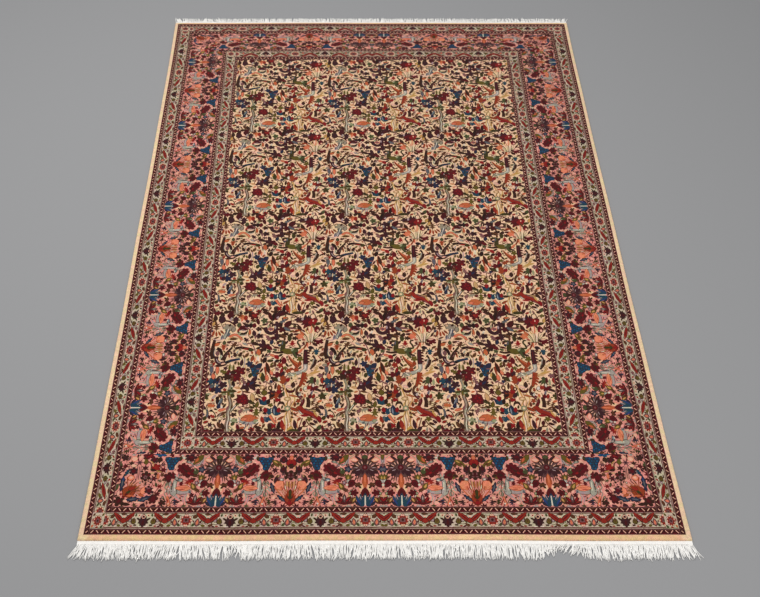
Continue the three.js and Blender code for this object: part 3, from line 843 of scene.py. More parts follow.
# The main border: half a repeat, from a palmette's axis to an urn's, mirrored on and on.
borderChart = """
brown line 2.4 18 118 32 104 44 92, brown line 2.4 40 118 46 106 42 92, moss line 2.4 30 66 40 72 46 78
brown line 2.4 62 108 74 116 80 128, brown line 2.4 92 116 94 106 92 96
brown line 2.4 150 146 158 136 166 128, mauve line 3 139 114 139 140 142 168
umber line 2.4 134 116 135 140 136 164, brown line 2.4 196 120 206 128 214 132
gold line 3 222 164 240 160 247 142, tan line 2.4 196 100 202 112 206 122
brown line 2.4 206 48 212 44 218 38, fan oval 0 150 84 76 0, umber leaf 5 178 34 9 84
fan leaf 14 178 36 9 64, umber leaf 23 172 38 9 46, fan leaf 31 166 42 9 30, umber leaf 36 157 38 8 14
fan leaf 35 146 38 9 -6, plum leaf 31 136 40 14 -24, umber leaf 40 138 16 6 -10
plum leaf 22 129 34 14 -44, fan leaf 12 122 30 10 -62, umber leaf 24 108 30 4 -80
umber leaf 33 106 28 4 -68, fan leaf 17 106 22 4 -88, pinkPale leaf 20 168 15 3 56
pinkPale leaf 28 160 16 3 36, lilac leaf 31 151 15 3 8, pinkPale leaf 10 171 14 3 72
lilac leaf 24 141 15 3 -20, wine/plum oval 0 152 22 22 0, mauve oval 0 152 8 8 0, plum leaf 7 132 20 9 -66
moss/umber leaf 0 194 20 24 90, plum/umber leaf 25 190 28 10 36, pinkPale/salmon leaf 38 182 30 17 10
sage line 3 34 204 44 197 53 188, lilac line 4 56 194 57 178 59 160, mauve/umber oval 60 160 12 13 0
grey/umber line 6-4 62 194 63 176 70 164 84 161 96 168 106 176, olive/brown leaf 74 184 54 22 -48
orange/rust leaf 80 182 24 12 -62, grey/umber oval 108 174 20 11 12, umber oval 112 175 4 4 0
lilac/umber leaf 92 158 32 8 -22, pinkPale leaf 83 153 18 7 70, mauve leaf 98 152 18 6 -40
plum/umber/wine rose 102 192 44 32 0, maroon leaf 102 186 24 9 20, white/grey oval 126 191 12 10 0
white/grey oval 132 200 9 8 0, oliveDark/umber leaf 138 188 22 14 100
navy/umber/slate rose 59 144 27 27 0, moss/brown leaf 80 137 32 22 70, sage oval 84 143 8 10 0
brown/umber leaf 80 120 24 12 0, wine/umber petals 105 133 44 42 0, wine/umber petals 125 149 42 42 0
maroon oval 106 122 18 16 0, red leaf 104 130 18 7 30, maroon leaf 126 150 20 8 60
umber leaf 116 140 26 5 45, umber leaf 96 142 18 4 -60, olive/umber tulip 58 114 30 24 90
gold leaf 58 110 14 6 90, brown leaf 46 112 18 8 -30, grey/umber rose 57 97 19 19 0
white oval 57 97 6 6 0, wine/umber/maroon drop 48 87 36 24 -58, white oval 62 83 8 8 0
mauve/umber rose 72 91 17 21 0, lilac oval 72 92 6 8 0, maroon/umber leaf 88 104 26 14 -24
red/umber maple 98 96 36 30 160, orange leaf 96 88 18 8 60, brick leaf 106 92 18 8 -10
olive/brown leaf 82 77 34 19 62, gold leaf 83 78 20 7 62, tan line 3 92 62 100 76 108 86
brown leaf 70 66 24 10 30, grey/umber leaf 123 60 74 28 0, lilac leaf 116 52 44 6 0
grey/umber leaf 149 60 44 26 80, grey/umber line 19-11 148 58 149 82 145 104, white line 4-3 145 62 147 94
slate line 2 155 62 154 96, coral/rust leaf 117 71 56 24 0, salmon leaf 115 73 36 8 0
brick leaf 122 66 24 3 0, slate/umber leaf 132 103 28 14 -8, greyBlue leaf 130 104 16 6 -8
grey/umber oval 142 108 16 13 0, umber oval 138 109 4 4 0, grey leaf 148 119 18 5 66
grey leaf 138 119 16 4 104, umber line 2.4 128 116 134 112, white leaf 128 99 12 4 -8
grey/umber line 5-3 100 48 106 34 100 20 98 8, lilac line 4-3 108 46 115 34 110 22 112 12
grey/umber line 5-3 140 46 132 34 122 26, lilac line 4-3 148 44 142 38 130 32, mauve leaf 118 40 20 5 20
slate leaf 92 56 16 7 60, stone/umber line 5-4 160 98 166 86 159 72 168 60 162 46
stone/umber line 5-4 178 98 171 86 181 74 171 62 179 50 172 38, umber line 2.4 169 98 168 80 171 62 168 44
grey line 3 188 82 182 70 188 58, umber line 2.4 154 90 156 72 154 56, stone/umber leaf 163 92 18 8 60
stone/umber leaf 177 92 18 8 120, grey leaf 160 64 14 6 40, grey leaf 184 62 14 6 140
stone/umber leaf 168 46 22 9 80, white oval 164 78 5 5 0, white oval 176 66 5 5 0, lilac oval 166 56 5 5 0
brown leaf 186 44 14 6 120, salmon/brick line 8-6 157 4 161 20 166 38, brick line 5-4 176 4 172 16 166 28
white oval 162 11 6 7 0, umber leaf 166 6 8 4 90, navy/umber frond 139 18 32 26 84
plum leaf 132 18 22 9 0, moss line 3 140 32 148 24 153 12, oliveDark/umber frond 184 18 30 28 100
plum/umber frond 207 15 30 24 100, umber leaf 198 18 16 8 0, olive leaf 176 30 14 6 60
navy bunch 167 168 52 52 90, umber line 2.4 167 196 168 204, wine/umber/maroon petals 169 121 46 40 0
umber leaf 168 122 26 6 30, umber/brown leaf 189 117 22 16 -20, olive leaf 182 109 14 7 60
maroon leaf 166 104 14 8 90, plum/umber/maroon star 200 141 32 31 15, plum/umber leaf 208 103 40 20 82
maroon leaf 210 100 16 6 82, tan/olive leaf 214 118 14 7 60, fan/umber star 230 126 22 20 0
grey/umber rose 226 104 17 15 0, white oval 224 104 6 6 0, mauve line 3 235 132 234 114 231 98
mauve leaf 218 114 22 7 74, plum/umber/maroon tulip 229 146 34 28 90, umber leaf 238 138 12 9 60
plum/umber/maroon drop 229 184 30 27 90, wine leaf 229 180 12 5 90, plum/umber star 210 198 28 24 0
umber/dark star 244 198 25 24 0, dark leaf 192 196 16 9 -30, olive/brown leaf 208 167 48 23 -36
brown leaf 210 165 26 8 -36, gold leaf 201 174 18 5 -36, brown/umber leaf 190 160 20 12 70
coral/rust drop 219 80 42 36 -62, salmon leaf 226 68 20 8 -62
orange/rust line 5-4 200 78 214 58 228 42 242 22, rust line 2.6 232 96 236 70 246 34
brown line 2.6 240 100 242 72 249 40, brown line 2.6 249 96 250 70 254 50
rust line 2.6 226 78 234 54 246 26, tan/rust leaf 240 73 34 8 104, pinkPale/rust leaf 233 54 28 7 114
gold/rust leaf 253 84 34 6 92, gold leaf 245 88 26 4 98, white leaf 239 74 18 3 104
brick/rust drop 257 34 66 36 90, oliveDark/umber drop 257 46 40 18 90, red/umber oval 256 14 20 18 0
rust leaf 244 30 34 7 118, rust leaf 249 52 30 5 100, navy/umber feather 195 70 50 19 -72
slate leaf 195 70 30 5 -72, navy/umber feather 228 30 44 17 -42, slate leaf 228 30 26 5 -42
teal leaf 224 34 12 5 -42, umber/dark/maroon petals 257 121 46 38 0, mauve leaf 250 126 12 4 90
mauve leaf 250 114 12 4 0, umber leaf 240 108 12 7 30, red/umber drop 256 173 36 34 90
brick leaf 250 176 20 6 60, umber/dark rose 256 157 22 20 0, salmon/rust leaf 255 191 20 12 90
orange/rust leaf 0 98 60 21 90, salmon leaf 0 108 34 5 90, rust line 2.4 6 120 6 98 8 76
pinkPale/salmon leaf 13 70 36 18 100, peach leaf 13 72 20 8 100, wine/umber/maroon drop 0 54 38 28 90
brown/umber rose 24 84 26 18 0, umber leaf 18 75 16 8 50, umber leaf 30 76 12 6 -40
teal/navy tulip 14 24 50 34 82, teal leaf 10 22 34 6 84, royal leaf 23 20 32 7 62
lilac leaf 17 36 22 3 68, navy/umber leaf 28 12 28 10 50, slate leaf 21 30 20 3 56
white line 5-4 0 4 0 42, brown/umber leaf 42 22 32 20 -58, gold leaf 38 25 18 6 -58
olive/brown leaf 54 30 20 12 30, sage/umber oval 52 50 12 13 0, white/umber oval 47 60 10 10 0
white/umber oval 47 40 10 12 0, tan oval 55 40 9 9 0, wine/umber/maroon rose 37 52 28 27 0
brown/umber star 65 60 26 19 0, wine/umber leaf 59 25 38 13 128, wine/umber leaf 86 27 36 13 56
wine/umber leaf 90 16 28 12 14, wine/umber leaf 56 14 26 11 166, wine/umber leaf 73 12 32 13 0
fan/umber leaf 71 31 36 14 90, red leaf 60 26 20 5 128, red leaf 85 28 20 5 56, grey leaf 71 32 16 4 90
brick leaf 88 18 14 4 14, pinkPale leaf 150 134 20 10 40, pinkPale leaf 162 204 26 6 0
pinkPale leaf 200 34 16 9 20, pinkPale leaf 118 14 18 9 0, pinkPale leaf 196 90 20 6 120
pinkPale leaf 124 176 20 8 -40, pinkPale leaf 152 156 18 6 100, pinkPale leaf 78 58 14 6 60
pinkPale leaf 216 152 16 5 100, pinkPale leaf 96 40 14 6 60
"""

# Where the axes fall along an end, in mm from the middle, and along a long side, in mm from the near edge.
# A whole half repeat runs between a palmette (0) and an urn (1). The first and last are cropped, by the
# share that is left.
border = {
    "width": 257.0,
    "height": 206.0,
    "cornerWidth": 188.0,
    "cell": 60,
    "lines": (4, 5),
    "grow": 1.05,
    "cornerGrow": 1.04,
    "least": 3.6,
    "tones": "maroon wine plum umber moss oliveDark brown grey umber wine brick fan",
    "seed": 7,
    "cornerSeed": 9,
    "endAxes": [(-577, 0), (-322, 1), (-63, 0)],
    "endCrops": (0.63, 0.245),
    "sideAxes": [(525, 0), (802, 1), (1067, 0), (1321, 1), (1574, 0), (1843, 1), (2112, 0), (2374, 1),
                 (2598, 0)],
    "sideCrops": (0.76, 0.41),
}

cornerChart = """
brown line 2.4 96 134 94 110 84 96, brown line 2.4 110 60 122 72 126 92
brown line 2.4 134 46 142 62 150 74, brown line 2.4 160 78 168 96 176 104
mauve line 3 64 160 66 134 68 108, mauve line 3 78 158 76 132 80 108, umber line 2.4 71 156 72 130 73 104
lilac line 4-3 168 132 168 150 172 166, umber line 2.4 36 160 34 148 42 140
brown line 2.4 24 168 22 178 18 184, sage line 3 134 198 133 184 126 168 120 158
brown line 2.4 146 150 140 162 140 176, umber/dark/maroon rose 18 20 42 38 0, wine leaf 20 24 18 6 60
umber/dark leaf 44 9 32 13 -6, wine/brick oval 32 39 13 15 0, rust/umber drop 50 60 58 44 45
oliveDark/rust leaf 46 55 32 15 45, brick leaf 56 69 24 13 24, rust leaf 63 52 28 11 60
wine leaf 40 46 14 9 45, tan/rust leaf 48 88 26 5 62, gold/rust leaf 57 89 26 5 52
tan/rust leaf 66 86 28 5 46, brown leaf 52 96 22 4 56, brown leaf 62 94 20 4 50
gold/rust leaf 77 77 28 5 36, tan/rust leaf 82 68 28 5 22, gold/rust leaf 83 59 26 5 6
tan/rust leaf 80 51 20 5 -12, brown leaf 74 60 26 4 18, brown leaf 74 70 26 4 30
rust line 5-3 34 114 38 96 41 74, white/umber oval 81 92 8 9 0, orange/rust leaf 92 43 24 10 -14
orange leaf 56 41 32 7 -4, coral/rust leaf 97 61 34 23 82, coral/rust leaf 48 111 28 24 0
pinkPale leaf 48 112 14 9 0, navy/umber feather 66 28 52 24 8, slate leaf 64 28 26 6 8
navy/umber feather 106 30 58 24 26, slate leaf 104 28 30 6 26, teal leaf 92 24 14 6 10
navy/umber feather 20 92 70 22 88, slate leaf 20 92 38 5 88, teal/umber feather 31 133 34 17 66
royal leaf 21 106 14 6 88, white leaf 39 132 17 4 80, white/umber leaf 127 45 16 6 50
pinkPale/mauve leaf 12 52 24 13 84, pinkPale leaf 40 22 16 8 -20, umber/dark petals 98 117 36 40 0
mauve rose 97 113 15 15 0, wine oval 89 123 9 8 0, wine oval 107 122 8 9 0, dark oval 98 113 5 5 0
plum/umber/wine star 127 108 30 34 60, umber oval 119 93 9 9 0, moss/umber leaf 138 84 20 9 108
mauve leaf 118 106 16 6 60, salmon/rust leaf 141 117 26 11 94, plum/umber/wine petals 117 62 30 36 60
mauve leaf 114 70 18 5 20, umber oval 112 77 8 7 0, wine/umber/maroon star 146 48 31 27 20
maroon/umber/wine petals 135 29 32 40 -30, wine leaf 136 34 16 7 60, umber/dark rose 167 15 30 23 0
maroon leaf 164 13 14 5 20, stone/umber leaf 169 33 22 8 -58, oliveDark leaf 173 27 14 6 -58
grey/umber line 5-4 190 98 184 86 191 72 182 60 188 46
stone/umber line 5-4 172 98 179 86 169 74 179 62 171 50 178 38, umber line 2.4 181 98 182 80 178 62 182 44
stone/umber leaf 174 88 18 7 60, stone leaf 186 54 16 7 100, white oval 182 70 5 5 0
white oval 174 60 5 5 0, salmon/brick line 10-7 190 6 187 24 181 40, brick leaf 185 24 18 4 110
brick/umber star 151 78 26 23 0, wine leaf 151 78 12 5 0, maroon/umber/wine petals 180 113 42 40 0
wine leaf 178 112 20 8 60, umber leaf 186 120 16 5 -40, brown/umber leaf 163 104 16 10 40
wine/umber/maroon star 156 142 32 32 10, plum/umber/mauve star 153 163 26 22 0
umber/dark leaf 140 182 26 19 84, plum/umber/maroon rose 120 181 28 30 0, wine leaf 120 184 14 6 60
red/umber/brick rose 130 152 33 31 0, umber/dark leaf 121 141 22 11 -10, gold/brown leaf 142 136 26 8 -16
brown/umber line 5-4 92 176 105 172 112 160 112 144, gold line 3 106 178 117 169 119 156
tan leaf 120 130 16 6 10, olive/brown leaf 91 175 28 18 104, wine/umber/red rose 100 200 42 32 0
maroon leaf 98 202 20 8 20, umber leaf 84 190 14 8 60, plum/umber/maroon star 92 149 30 32 90
umber/dark oval 82 136 9 9 0, mauve/umber/plum star 69 171 31 29 0, pinkPale leaf 72 194 14 8 60
umber/dark star 41 168 25 30 90, maroon/umber/wine star 21 156 31 30 50
umber/dark/plum rose 15 191 27 27 0, mauve/umber leaf 30 188 24 11 64
plum/umber/wine petals 52 137 31 32 0, pinkPale/salmon leaf 50 186 28 22 0, pinkPale leaf 50 159 20 12 0
wine leaf 62 184 14 5 100, umber leaf 60 198 16 7 90, navy bunch 184 168 52 52 90
grape/navy rose 142 204 44 20 0, teal oval 136 204 8 8 0, royal oval 148 203 8 8 0
pinkPale leaf 162 54 18 9 60, pinkPale leaf 134 66 18 9 30, pinkPale leaf 160 92 16 7 100
pinkPale leaf 84 16 24 7 0, pinkPale leaf 150 14 14 9 60, pinkPale leaf 28 148 10 6 0
pinkPale leaf 82 180 12 6 90, pinkPale leaf 106 154 12 5 90, pinkPale leaf 144 170 14 6 60
umber leaf 56 18 14 5 20
"""


# The half repeat whole, and cut off at the shares of its width that the crops give.
def halfRepeats(outlines, width, height, ground, cell, crops):
    return {crop: woven(outlines, width * crop, height, ground, cell) for crop in crops}


# Half repeats between neighbouring axes along a strip that runs from one coordinate to another.
def mirroredRow(whole, first, last, axes, start, end):
    def share(at):
        return (at - start) / (end - start)

    rows = []
    if first:
        rows.append((first, share(axes[0][0]), 0, 0, 1))
    for (a, kind), (b, _) in zip(axes, axes[1:]):
        left, right = (a, b) if kind == 0 else (b, a)
        rows.append((whole, share(left), share(right), 0, 1))
    if last:
        rows.append((last, share(axes[-1][0]), 1, 0, 1))
    return rows


# Lays a row over the left half of an end's strip, and its mirror image over the right half.
def mirroredOver(corners, row):
    left = [(repeat, a / 2, b / 2, 0, 1) for repeat, a, b, _, _ in row]
    return laidOver(corners, left + [(repeat, 1 - a, 1 - b, 0, 1) for repeat, a, b, _, _ in left])


# The border's two ends with its four corners as one piece, and its two long sides as another.
def borderPieces():
    outer, inner = border["lines"]
    w, h, cornerW, cell = border["width"], border["height"], border["cornerWidth"], border["cell"]
    endCrops, sideCrops = border["endCrops"], border["sideCrops"]
    charted = outlinesOf(borderChart, border["grow"])
    small = sprigs(charted, w, h, False, border)
    half = halfRepeats(small + charted, w, h, "rose", cell, (1.0, *endCrops, *sideCrops))
    charted = outlinesOf(cornerChart, border["cornerGrow"])
    small = sprigs(charted, cornerW, h, False, {**border, "seed": border["cornerSeed"]})
    corner = woven(small + charted, cornerW, h, "rose", cell)
    print("border half repeat:", len(half[1.0]["triangles"]), "corner:", len(corner["triangles"]))
    strips = stripsOf(outer, inner)
    nearIn, farIn = lineEnds(inner)
    laid = []
    for name, y in (("near", nearIn), ("far", farIn)):
        first, last = half[endCrops[0]], half[endCrops[1]]
        row = mirroredRow(half[1.0], first, last, border["endAxes"], -halfWidthAt(inner, y), 0)
        laid.append(mirroredOver(strips[name], row))
    first, last = half[sideCrops[0]], half[sideCrops[1]]
    row = mirroredRow(half[1.0], first, last, border["sideAxes"], nearIn, farIn)
    sides = [laidOver(strips[name], row) for name in ("left", "right")]
    laid += [laidOver(square, [(corner, 0, 1, 0, 1)]) for square in cornersOf(outer, inner)]
    return [patternedPile("mainBorderEnds", laid), patternedPile("mainBorderSides", sides)]


borderObjects = borderPieces()

# The two guard borders, each between two zigzag stripes.
guardChart = """
brown line 2.6 0 2 24 3 50 2 80 3 110 2 147 3, mauve line 2.6 0 5 74 6 147 5
brown line 2.6 0 57 30 56 60 57 90 56 120 57 147 56, brown line 2.4 16 10 30 16 44 14 58 22 70 16
brown line 2.4 84 20 98 16 112 18 124 10, sage line 2.6 77 24 71 12 68 6
moss line 2.4 18 50 30 48 40 52 50 46, brown line 2.4 96 50 104 40 102 22
pinkPale/umber rosette 0 31 46 48 0, brick/- rosette 0 31 34 36 20, mauve/- rose 0 32 20 20 0
umber/- oval 0 32 9 10 0, mauve/umber/pinkPale drop 38 24 30 17 84, salmon/- leaf 38 24 18 7 84
brown/- leaf 31 46 20 11 40, moss/- leaf 25 15 15 9 60, pinkPale/- leaf 44 44 14 8 -50
maroon/- leaf 46 42 10 4 -50, maroon/- leaf 50 26 12 6 80, brown/umber leaf 72 54 22 10 0
pinkPale/- leaf 73 46 10 5 0, brown/- leaf 82 13 18 10 20, olive/- leaf 58 12 16 9 -14
maroon/- leaf 92 9 14 5 -20, lilac/umber leaf 98 30 15 11 60, white/- leaf 99 46 12 4 70
brown leaf 88 25 14 4 50, sage leaf 58 28 12 5 60, olive/umber drop 112 28 24 17 90
brown leaf 112 30 14 4 90, moss/- leaf 118 50 12 7 80, brick/- leaf 108 48 12 7 60
umber/- leaf 119 13 14 6 10, plum/umber rosette 147 27 40 38 0, plum/umber leaf 147 30 50 24 90
umber/- leaf 128 36 14 7 150, pinkPale/umber rose 147 44 19 18 0, plum/- oval 147 44 9 9 0
maroon leaf 147 22 20 9 90, pinkPale/- leaf 131 49 12 8 40, wine leaf 131 49 6 4 40
white leaf 136 8 12 4 0, brick leaf 104 10 12 5 0
"""

# Along the ends two leaves stand as a V between each two flowers, and along the sides one leaf lies aslant.
guardLeaves = {
    "ends": """
brick/umber leaf 93 42 56 18 42, brick/umber leaf 53 42 56 18 138, brick/umber drop 73 30 22 22 90
wine leaf 92 42 30 4 42, wine leaf 54 42 30 4 138
""",
    "sides": """
brick/umber leaf 72 30 60 18 -28, wine leaf 73 30 36 4 -28, mauve/umber rose 92 44 16 15 0
olive leaf 54 18 18 8 20
""",
}

guardCorner = """
moss line 2.6 2 2 30 3 59 2, pinkPale/umber rosette 29 29 48 48 0, brick/- rosette 29 29 37 37 20
mauve/- rose 29 29 20 20 0, umber/- oval 29 29 9 10 0, orange leaf 8 10 14 9 45, moss leaf 52 8 18 10 40
brown leaf 9 52 16 9 40, olive leaf 52 52 16 9 45, brick leaf 30 5 14 6 0, brick leaf 6 32 14 6 90
"""

stripeChart = """
wine twig 17.7 5.5 18 6 0, brown twig 0 16.5 16 5 0, brown twig 35.4 16.5 16 5 0
pinkPale bar 8.8 11.2 13 2.9 50, pinkPale bar 26.6 11.2 13 2.9 -50, mauve bar 17.7 1 36 3 0
mauve bar 17.7 21 36 3 0
"""

stripeCorner = """
claret bar 11 11 16 16 0
pinkPale bar 11 11 10 3 45
"""

guards = {
    "width": 147.0,
    "height": 59.0,
    "cell": 60,
    "stripePitch": 35.4,
    "stripeHeight": 22.0,
    "grow": 1.07,
    "least": 3.1,
    "tones": "maroon brown wine brick mauve brown",
    "seed": 4,
}

# Axes as in the main border: a flower of the first kind (0) or of the second (1). endCrop is the share of a
# half repeat that is left at the middle of an end, and sideCount the number of half repeats along a side.
outerGuard = {
    "name": "outerGuard",
    "lines": (2, 3),
    "stripes": ((1, 2), (3, 4)),
    "endAxes": [(-815, 1), (-670, 0), (-521, 1), (-366, 0), (-215, 1), (-63, 0)],
    "endCrop": 0.43,
    "sideCount": 16,
}
innerGuard = {
    "name": "innerGuard",
    "lines": (6, 7),
    "stripes": ((5, 6), (7, 8)),
    "endAxes": [(-540, 1), (-390, 0), (-240, 1), (-95, 0)],
    "endCrop": 0.65,
    "sideCount": 15,
}


# Whole repeats of a stripe, as many as fit best at the pitch.
def evenStripe(unit, corners, pitch):
    a, b = np.array(corners[0], float), np.array(corners[1], float)
    count = max(1, int(np.linalg.norm(b - a) / pitch + 0.5))
    return laidOver(corners, [(unit, i / count, (i + 1) / count, 0, 1) for i in range(count)])


# A guard border with its two stripes. turn is the stripes' corner.
def guardPiece(guard, half, corner, stripe, turn):
    outer, inner = guard["lines"]
    strips = stripsOf(outer, inner)
    laid = []
    for name, y in zip(("near", "far"), lineEnds(inner)):
        endX = halfWidthAt(inner, y)
        axes = [(-endX, 0), *guard["endAxes"]]
        row = mirroredRow(half["ends"][1.0], None, half["ends"][guard["endCrop"]], axes, -endX, 0)
        laid.append(mirroredOver(strips[name], row))
    count = guard["sideCount"]
    for name in ("left", "right"):
        rows = []
        for i in range(count):
            a, b = (i, i + 1) if i % 2 == 0 else (i + 1, i)
            rows.append((half["sides"][1.0], a / count, b / count, 0, 1))
        laid.append(laidOver(strips[name], rows))
    laid += [laidOver(square, [(corner, 0, 1, 0, 1)]) for square in cornersOf(outer, inner)]
    for pair in guard["stripes"]:
        laid += [evenStripe(stripe, corners, guards["stripePitch"]) for corners in stripsOf(*pair).values()]
        laid += [laidOver(square, [(turn, 0, 1, 0, 1)]) for square in cornersOf(*pair)]
    return patternedPile(guard["name"], laid)


# Both guards from the same half repeats: one with the ends' leaves, and one with the sides'.
def guardPieces():
    w, h, cell, stripeH = guards["width"], guards["height"], guards["cell"], guards["stripeHeight"]
    crops = (1.0, outerGuard["endCrop"], innerGuard["endCrop"])
    half = {}
    for place, wanted in (("ends", crops), ("sides", (1.0,))):
        charted = outlinesOf(guardChart + guardLeaves[place], guards["grow"])
        small = sprigs(charted, w, h, False, guards)
        half[place] = halfRepeats(small + charted, w, h, "guard", cell, wanted)
    corner = woven(outlinesOf(guardCorner, 1.0), h, h, "guard", cell)
    stripe = woven(outlinesOf(stripeChart, 1.0), guards["stripePitch"], stripeH, "claret", cell)
    turn = woven(outlinesOf(stripeCorner, 1.0), stripeH, stripeH, "mauve", cell)
    print("guard half repeat:", len(half["ends"][1.0]["triangles"]), "stripe:", len(stripe["triangles"]))
    return [guardPiece(guard, half, corner, stripe, turn) for guard in (outerGuard, innerGuard)]


guardObjects = guardPieces()

# The cloth itself: woven back, low walls, the plain edge band, and a flat bed for the patterned pile. Its
# loops run from the middle of the back, out round the edge and in again. Each has an inset from the pile's
# edge or from the first line between bands, and a height, or None for the pile's own top.
bed = {
    "samples": 120,
    "loops": [("edge", 1.2, 0.0), ("edge", 0.1, 0.8), ("edge", 0.0, 2.4), ("edge", 0.0, 5.6),
              ("edge", 0.5, 6.9), ("edge", 1.4, 7.9), ("edge", 2.8, 8.6), ("edge", 5.0, None),
              ("edge", 9.0, None), ("line", 0.0, None), ("line", -0.1, rug["bedHeight"])],
    "creamBand": 28,  # width of the paler band along each long side
}


# Points evenly along the four sides of the rug's edge, or of its first line, moved inwards by the inset.
def loopPoints(kind, inset):
    number = 0 if kind == "edge" else 1
    near, far = lineEnds(number)
    near, far = near + inset, far - inset
    nearX, farX = halfWidthAt(number, near) - inset, halfWidthAt(number, far) - inset
    corners = np.array([(-nearX, near), (nearX, near), (farX, far), (-farX, far)])
    t = np.linspace(0, 1, bed["samples"], endpoint=False)[:, None]
    return np.concatenate([corners[i] * (1 - t) + corners[(i + 1) % 4] * t for i in range(4)])


# The loops joined by faces, with one face over the back and one over the bed.
def groundPiece():
    verts, count = [], bed["samples"] * 4
    for kind, inset, height in bed["loops"]:
        points = loopPoints(kind, inset)
        x, y = onRug(points[:, 0], points[:, 1])
        z = pileTop(points[:, 0], points[:, 1]) if height is None else np.full(count, height / 1000)
        verts.append(np.stack([x, y, z], 1))
    here = np.arange(count)
    after = (here + 1) % count
    faces = []
    for i in range(len(verts) - 1):
        low, high = i * count, (i + 1) * count
        faces += np.stack([low + here, low + after, high + after, high + here], 1).tolist()
    faces.append(((len(verts) - 1) * count + here).tolist())
    faces.append(here[::-1].tolist())
    verts = np.concatenate(verts)
    mesh = bpy.data.meshes.new("rugGround")
    mesh.from_pydata(verts.tolist(), [], faces)
    corner = np.zeros(len(mesh.loops), np.int32)
    mesh.loops.foreach_get("vertex_index", corner)
    fromMiddle = np.abs(verts[corner, 0] - middleX / 1000) * 1000
    inBand = fromMiddle > rug["halfWidth"] - bed["creamBand"]
    dyeCorners(mesh, np.where(inBand[:, None], linear("cream"), linear("peach")))
    print("ground:", len(mesh.polygons), "faces")
    return shown("rugGround", mesh)


groundObject = groundPiece()

# The woven ends, with a section from the pile outwards: a share of the depth, and a height in millimetres.
# An outer edge is uneven in waves that have a height, a reach and a start each.
kilim = {
    "samples": 240,
    "inset": 0.5,
    "gap": 0.3,
    "section": [(0.0, 0.0), (0.0, 2.4), (0.12, 3.0), (0.5, 3.1), (0.88, 2.8), (1.0, 1.6), (1.0, 0.0)],
    "waves": ((0.5, 37, 0), (0.35, 13.7, 2)),
}

# Their fringes. A tangle is a short stretch where the yarns are matted, shortened and swept aside: its
# middle and reach as shares of half the end, and its sweep in degrees.
ends = {
    "Near": {"side": -1, "depth": 17.0, "node": "fringe_near", "count": 900, "length": 48.0, "spread": 8.0,
             "lean": 8.0, "waves": 6.2, "steps": 8, "seed": 3,
             "tangles": ((0.59, 0.06, -32), (-0.495, 0.016, 20))},
    "Far": {"side": 1, "depth": 13.0, "node": "fringe_far", "count": 760, "length": 31.0, "spread": 5.0,
            "lean": 7.0, "waves": 7.5, "steps": 6, "seed": 8, "tangles": ()},
}
cotton = {
    "sides": 4,
    "yarnRadius": 1.85,
    "cornerInset": 5,  # of the outermost roots from the pile's corners
    "rootDepth": 4,  # how far a root is inside the woven strip
    "placeSpread": 0.25,
    "splay": 24.0,  # degrees that the outermost yarns lean outwards, and how soon that dies away
    "splayReach": 0.045,
    "leanSpread": 6.5,  # chance lean of a yarn, in degrees
    "curlSpread": 0.16,
    "tangledLean": 16,
    "tangledCurl": 0.5,
    "tangledShort": (0.22, 0.2),  # share that a tangled yarn loses: always, and by chance
    "newLock": 0.3,  # chance that a yarn starts a lock of its own
    "gather": (0.1, 0.9),  # how far a yarn leans towards the middle of its lock
    "rest": 1.9,  # height of the lowest yarns' middles, and of the layers above them
    "layers": 2.2,
    "lift": 0.9,  # how far a yarn rises and falls on its way, in a wave of liftWave
    "liftWave": 1.2,
    "curlGrowth": 0.6,
    "twist": 0.7,  # turns in twistLength
    "twistLength": 30,
    "loose": 0.5,  # how far a yarn's middle winds round its line, in radii
    "looseEnd": (0.2, 1.6),  # the chance share of that added towards the tip, from looseFrom on
    "looseFrom": 0.6,
    "flat": 0.8,  # it winds less up and down than sideways
    "taper": 0.35,  # a tip is thinner by this share, from taperFrom on
    "taperFrom": 0.8,
    "clear": 0.0002,  # metres above the floor
}


# A thin slab from the pile's edge outwards: its section, carried along the edge.
def kilimPiece(label, end):
    count, section = kilim["samples"], kilim["section"]
    x = np.linspace(-rug["halfWidth"] + kilim["inset"], rug["halfWidth"] - kilim["inset"], count)
    worldX, worldY = onRug(x, np.full(count, 0.0 if end["side"] < 0 else rug["length"]))
    wave = sum(height * np.sin(x / reach + start) for height, reach, start in kilim["waves"])
    rows = []
    for share, height in section:
        reach = end["side"] * (kilim["gap"] + share * (end["depth"] + wave)) / 1000
        rows.append(np.stack([worldX, worldY + reach, np.full(count, height / 1000)], 1))
    here = np.arange(count - 1)
    faces = []
    for i in range(len(section)):
        low, high = i * count, ((i + 1) % len(section)) * count
        faces += np.stack([low + here, low + here + 1, high + here + 1, high + here], 1).tolist()
    faces.append([i * count for i in range(len(section))])
    faces.append([i * count + count - 1 for i in range(len(section))][::-1])
    mesh = bpy.data.meshes.new("kilim" + label)
    mesh.from_pydata(np.concatenate(rows).tolist(), [], faces)
    return shown("kilim" + label, mesh)


# Rises evenly from 0 at a share of a yarn's length to 1 at its tip.
def towardsTip(t, start):
    return np.clip((t - start) / (1 - start), 0, 1)


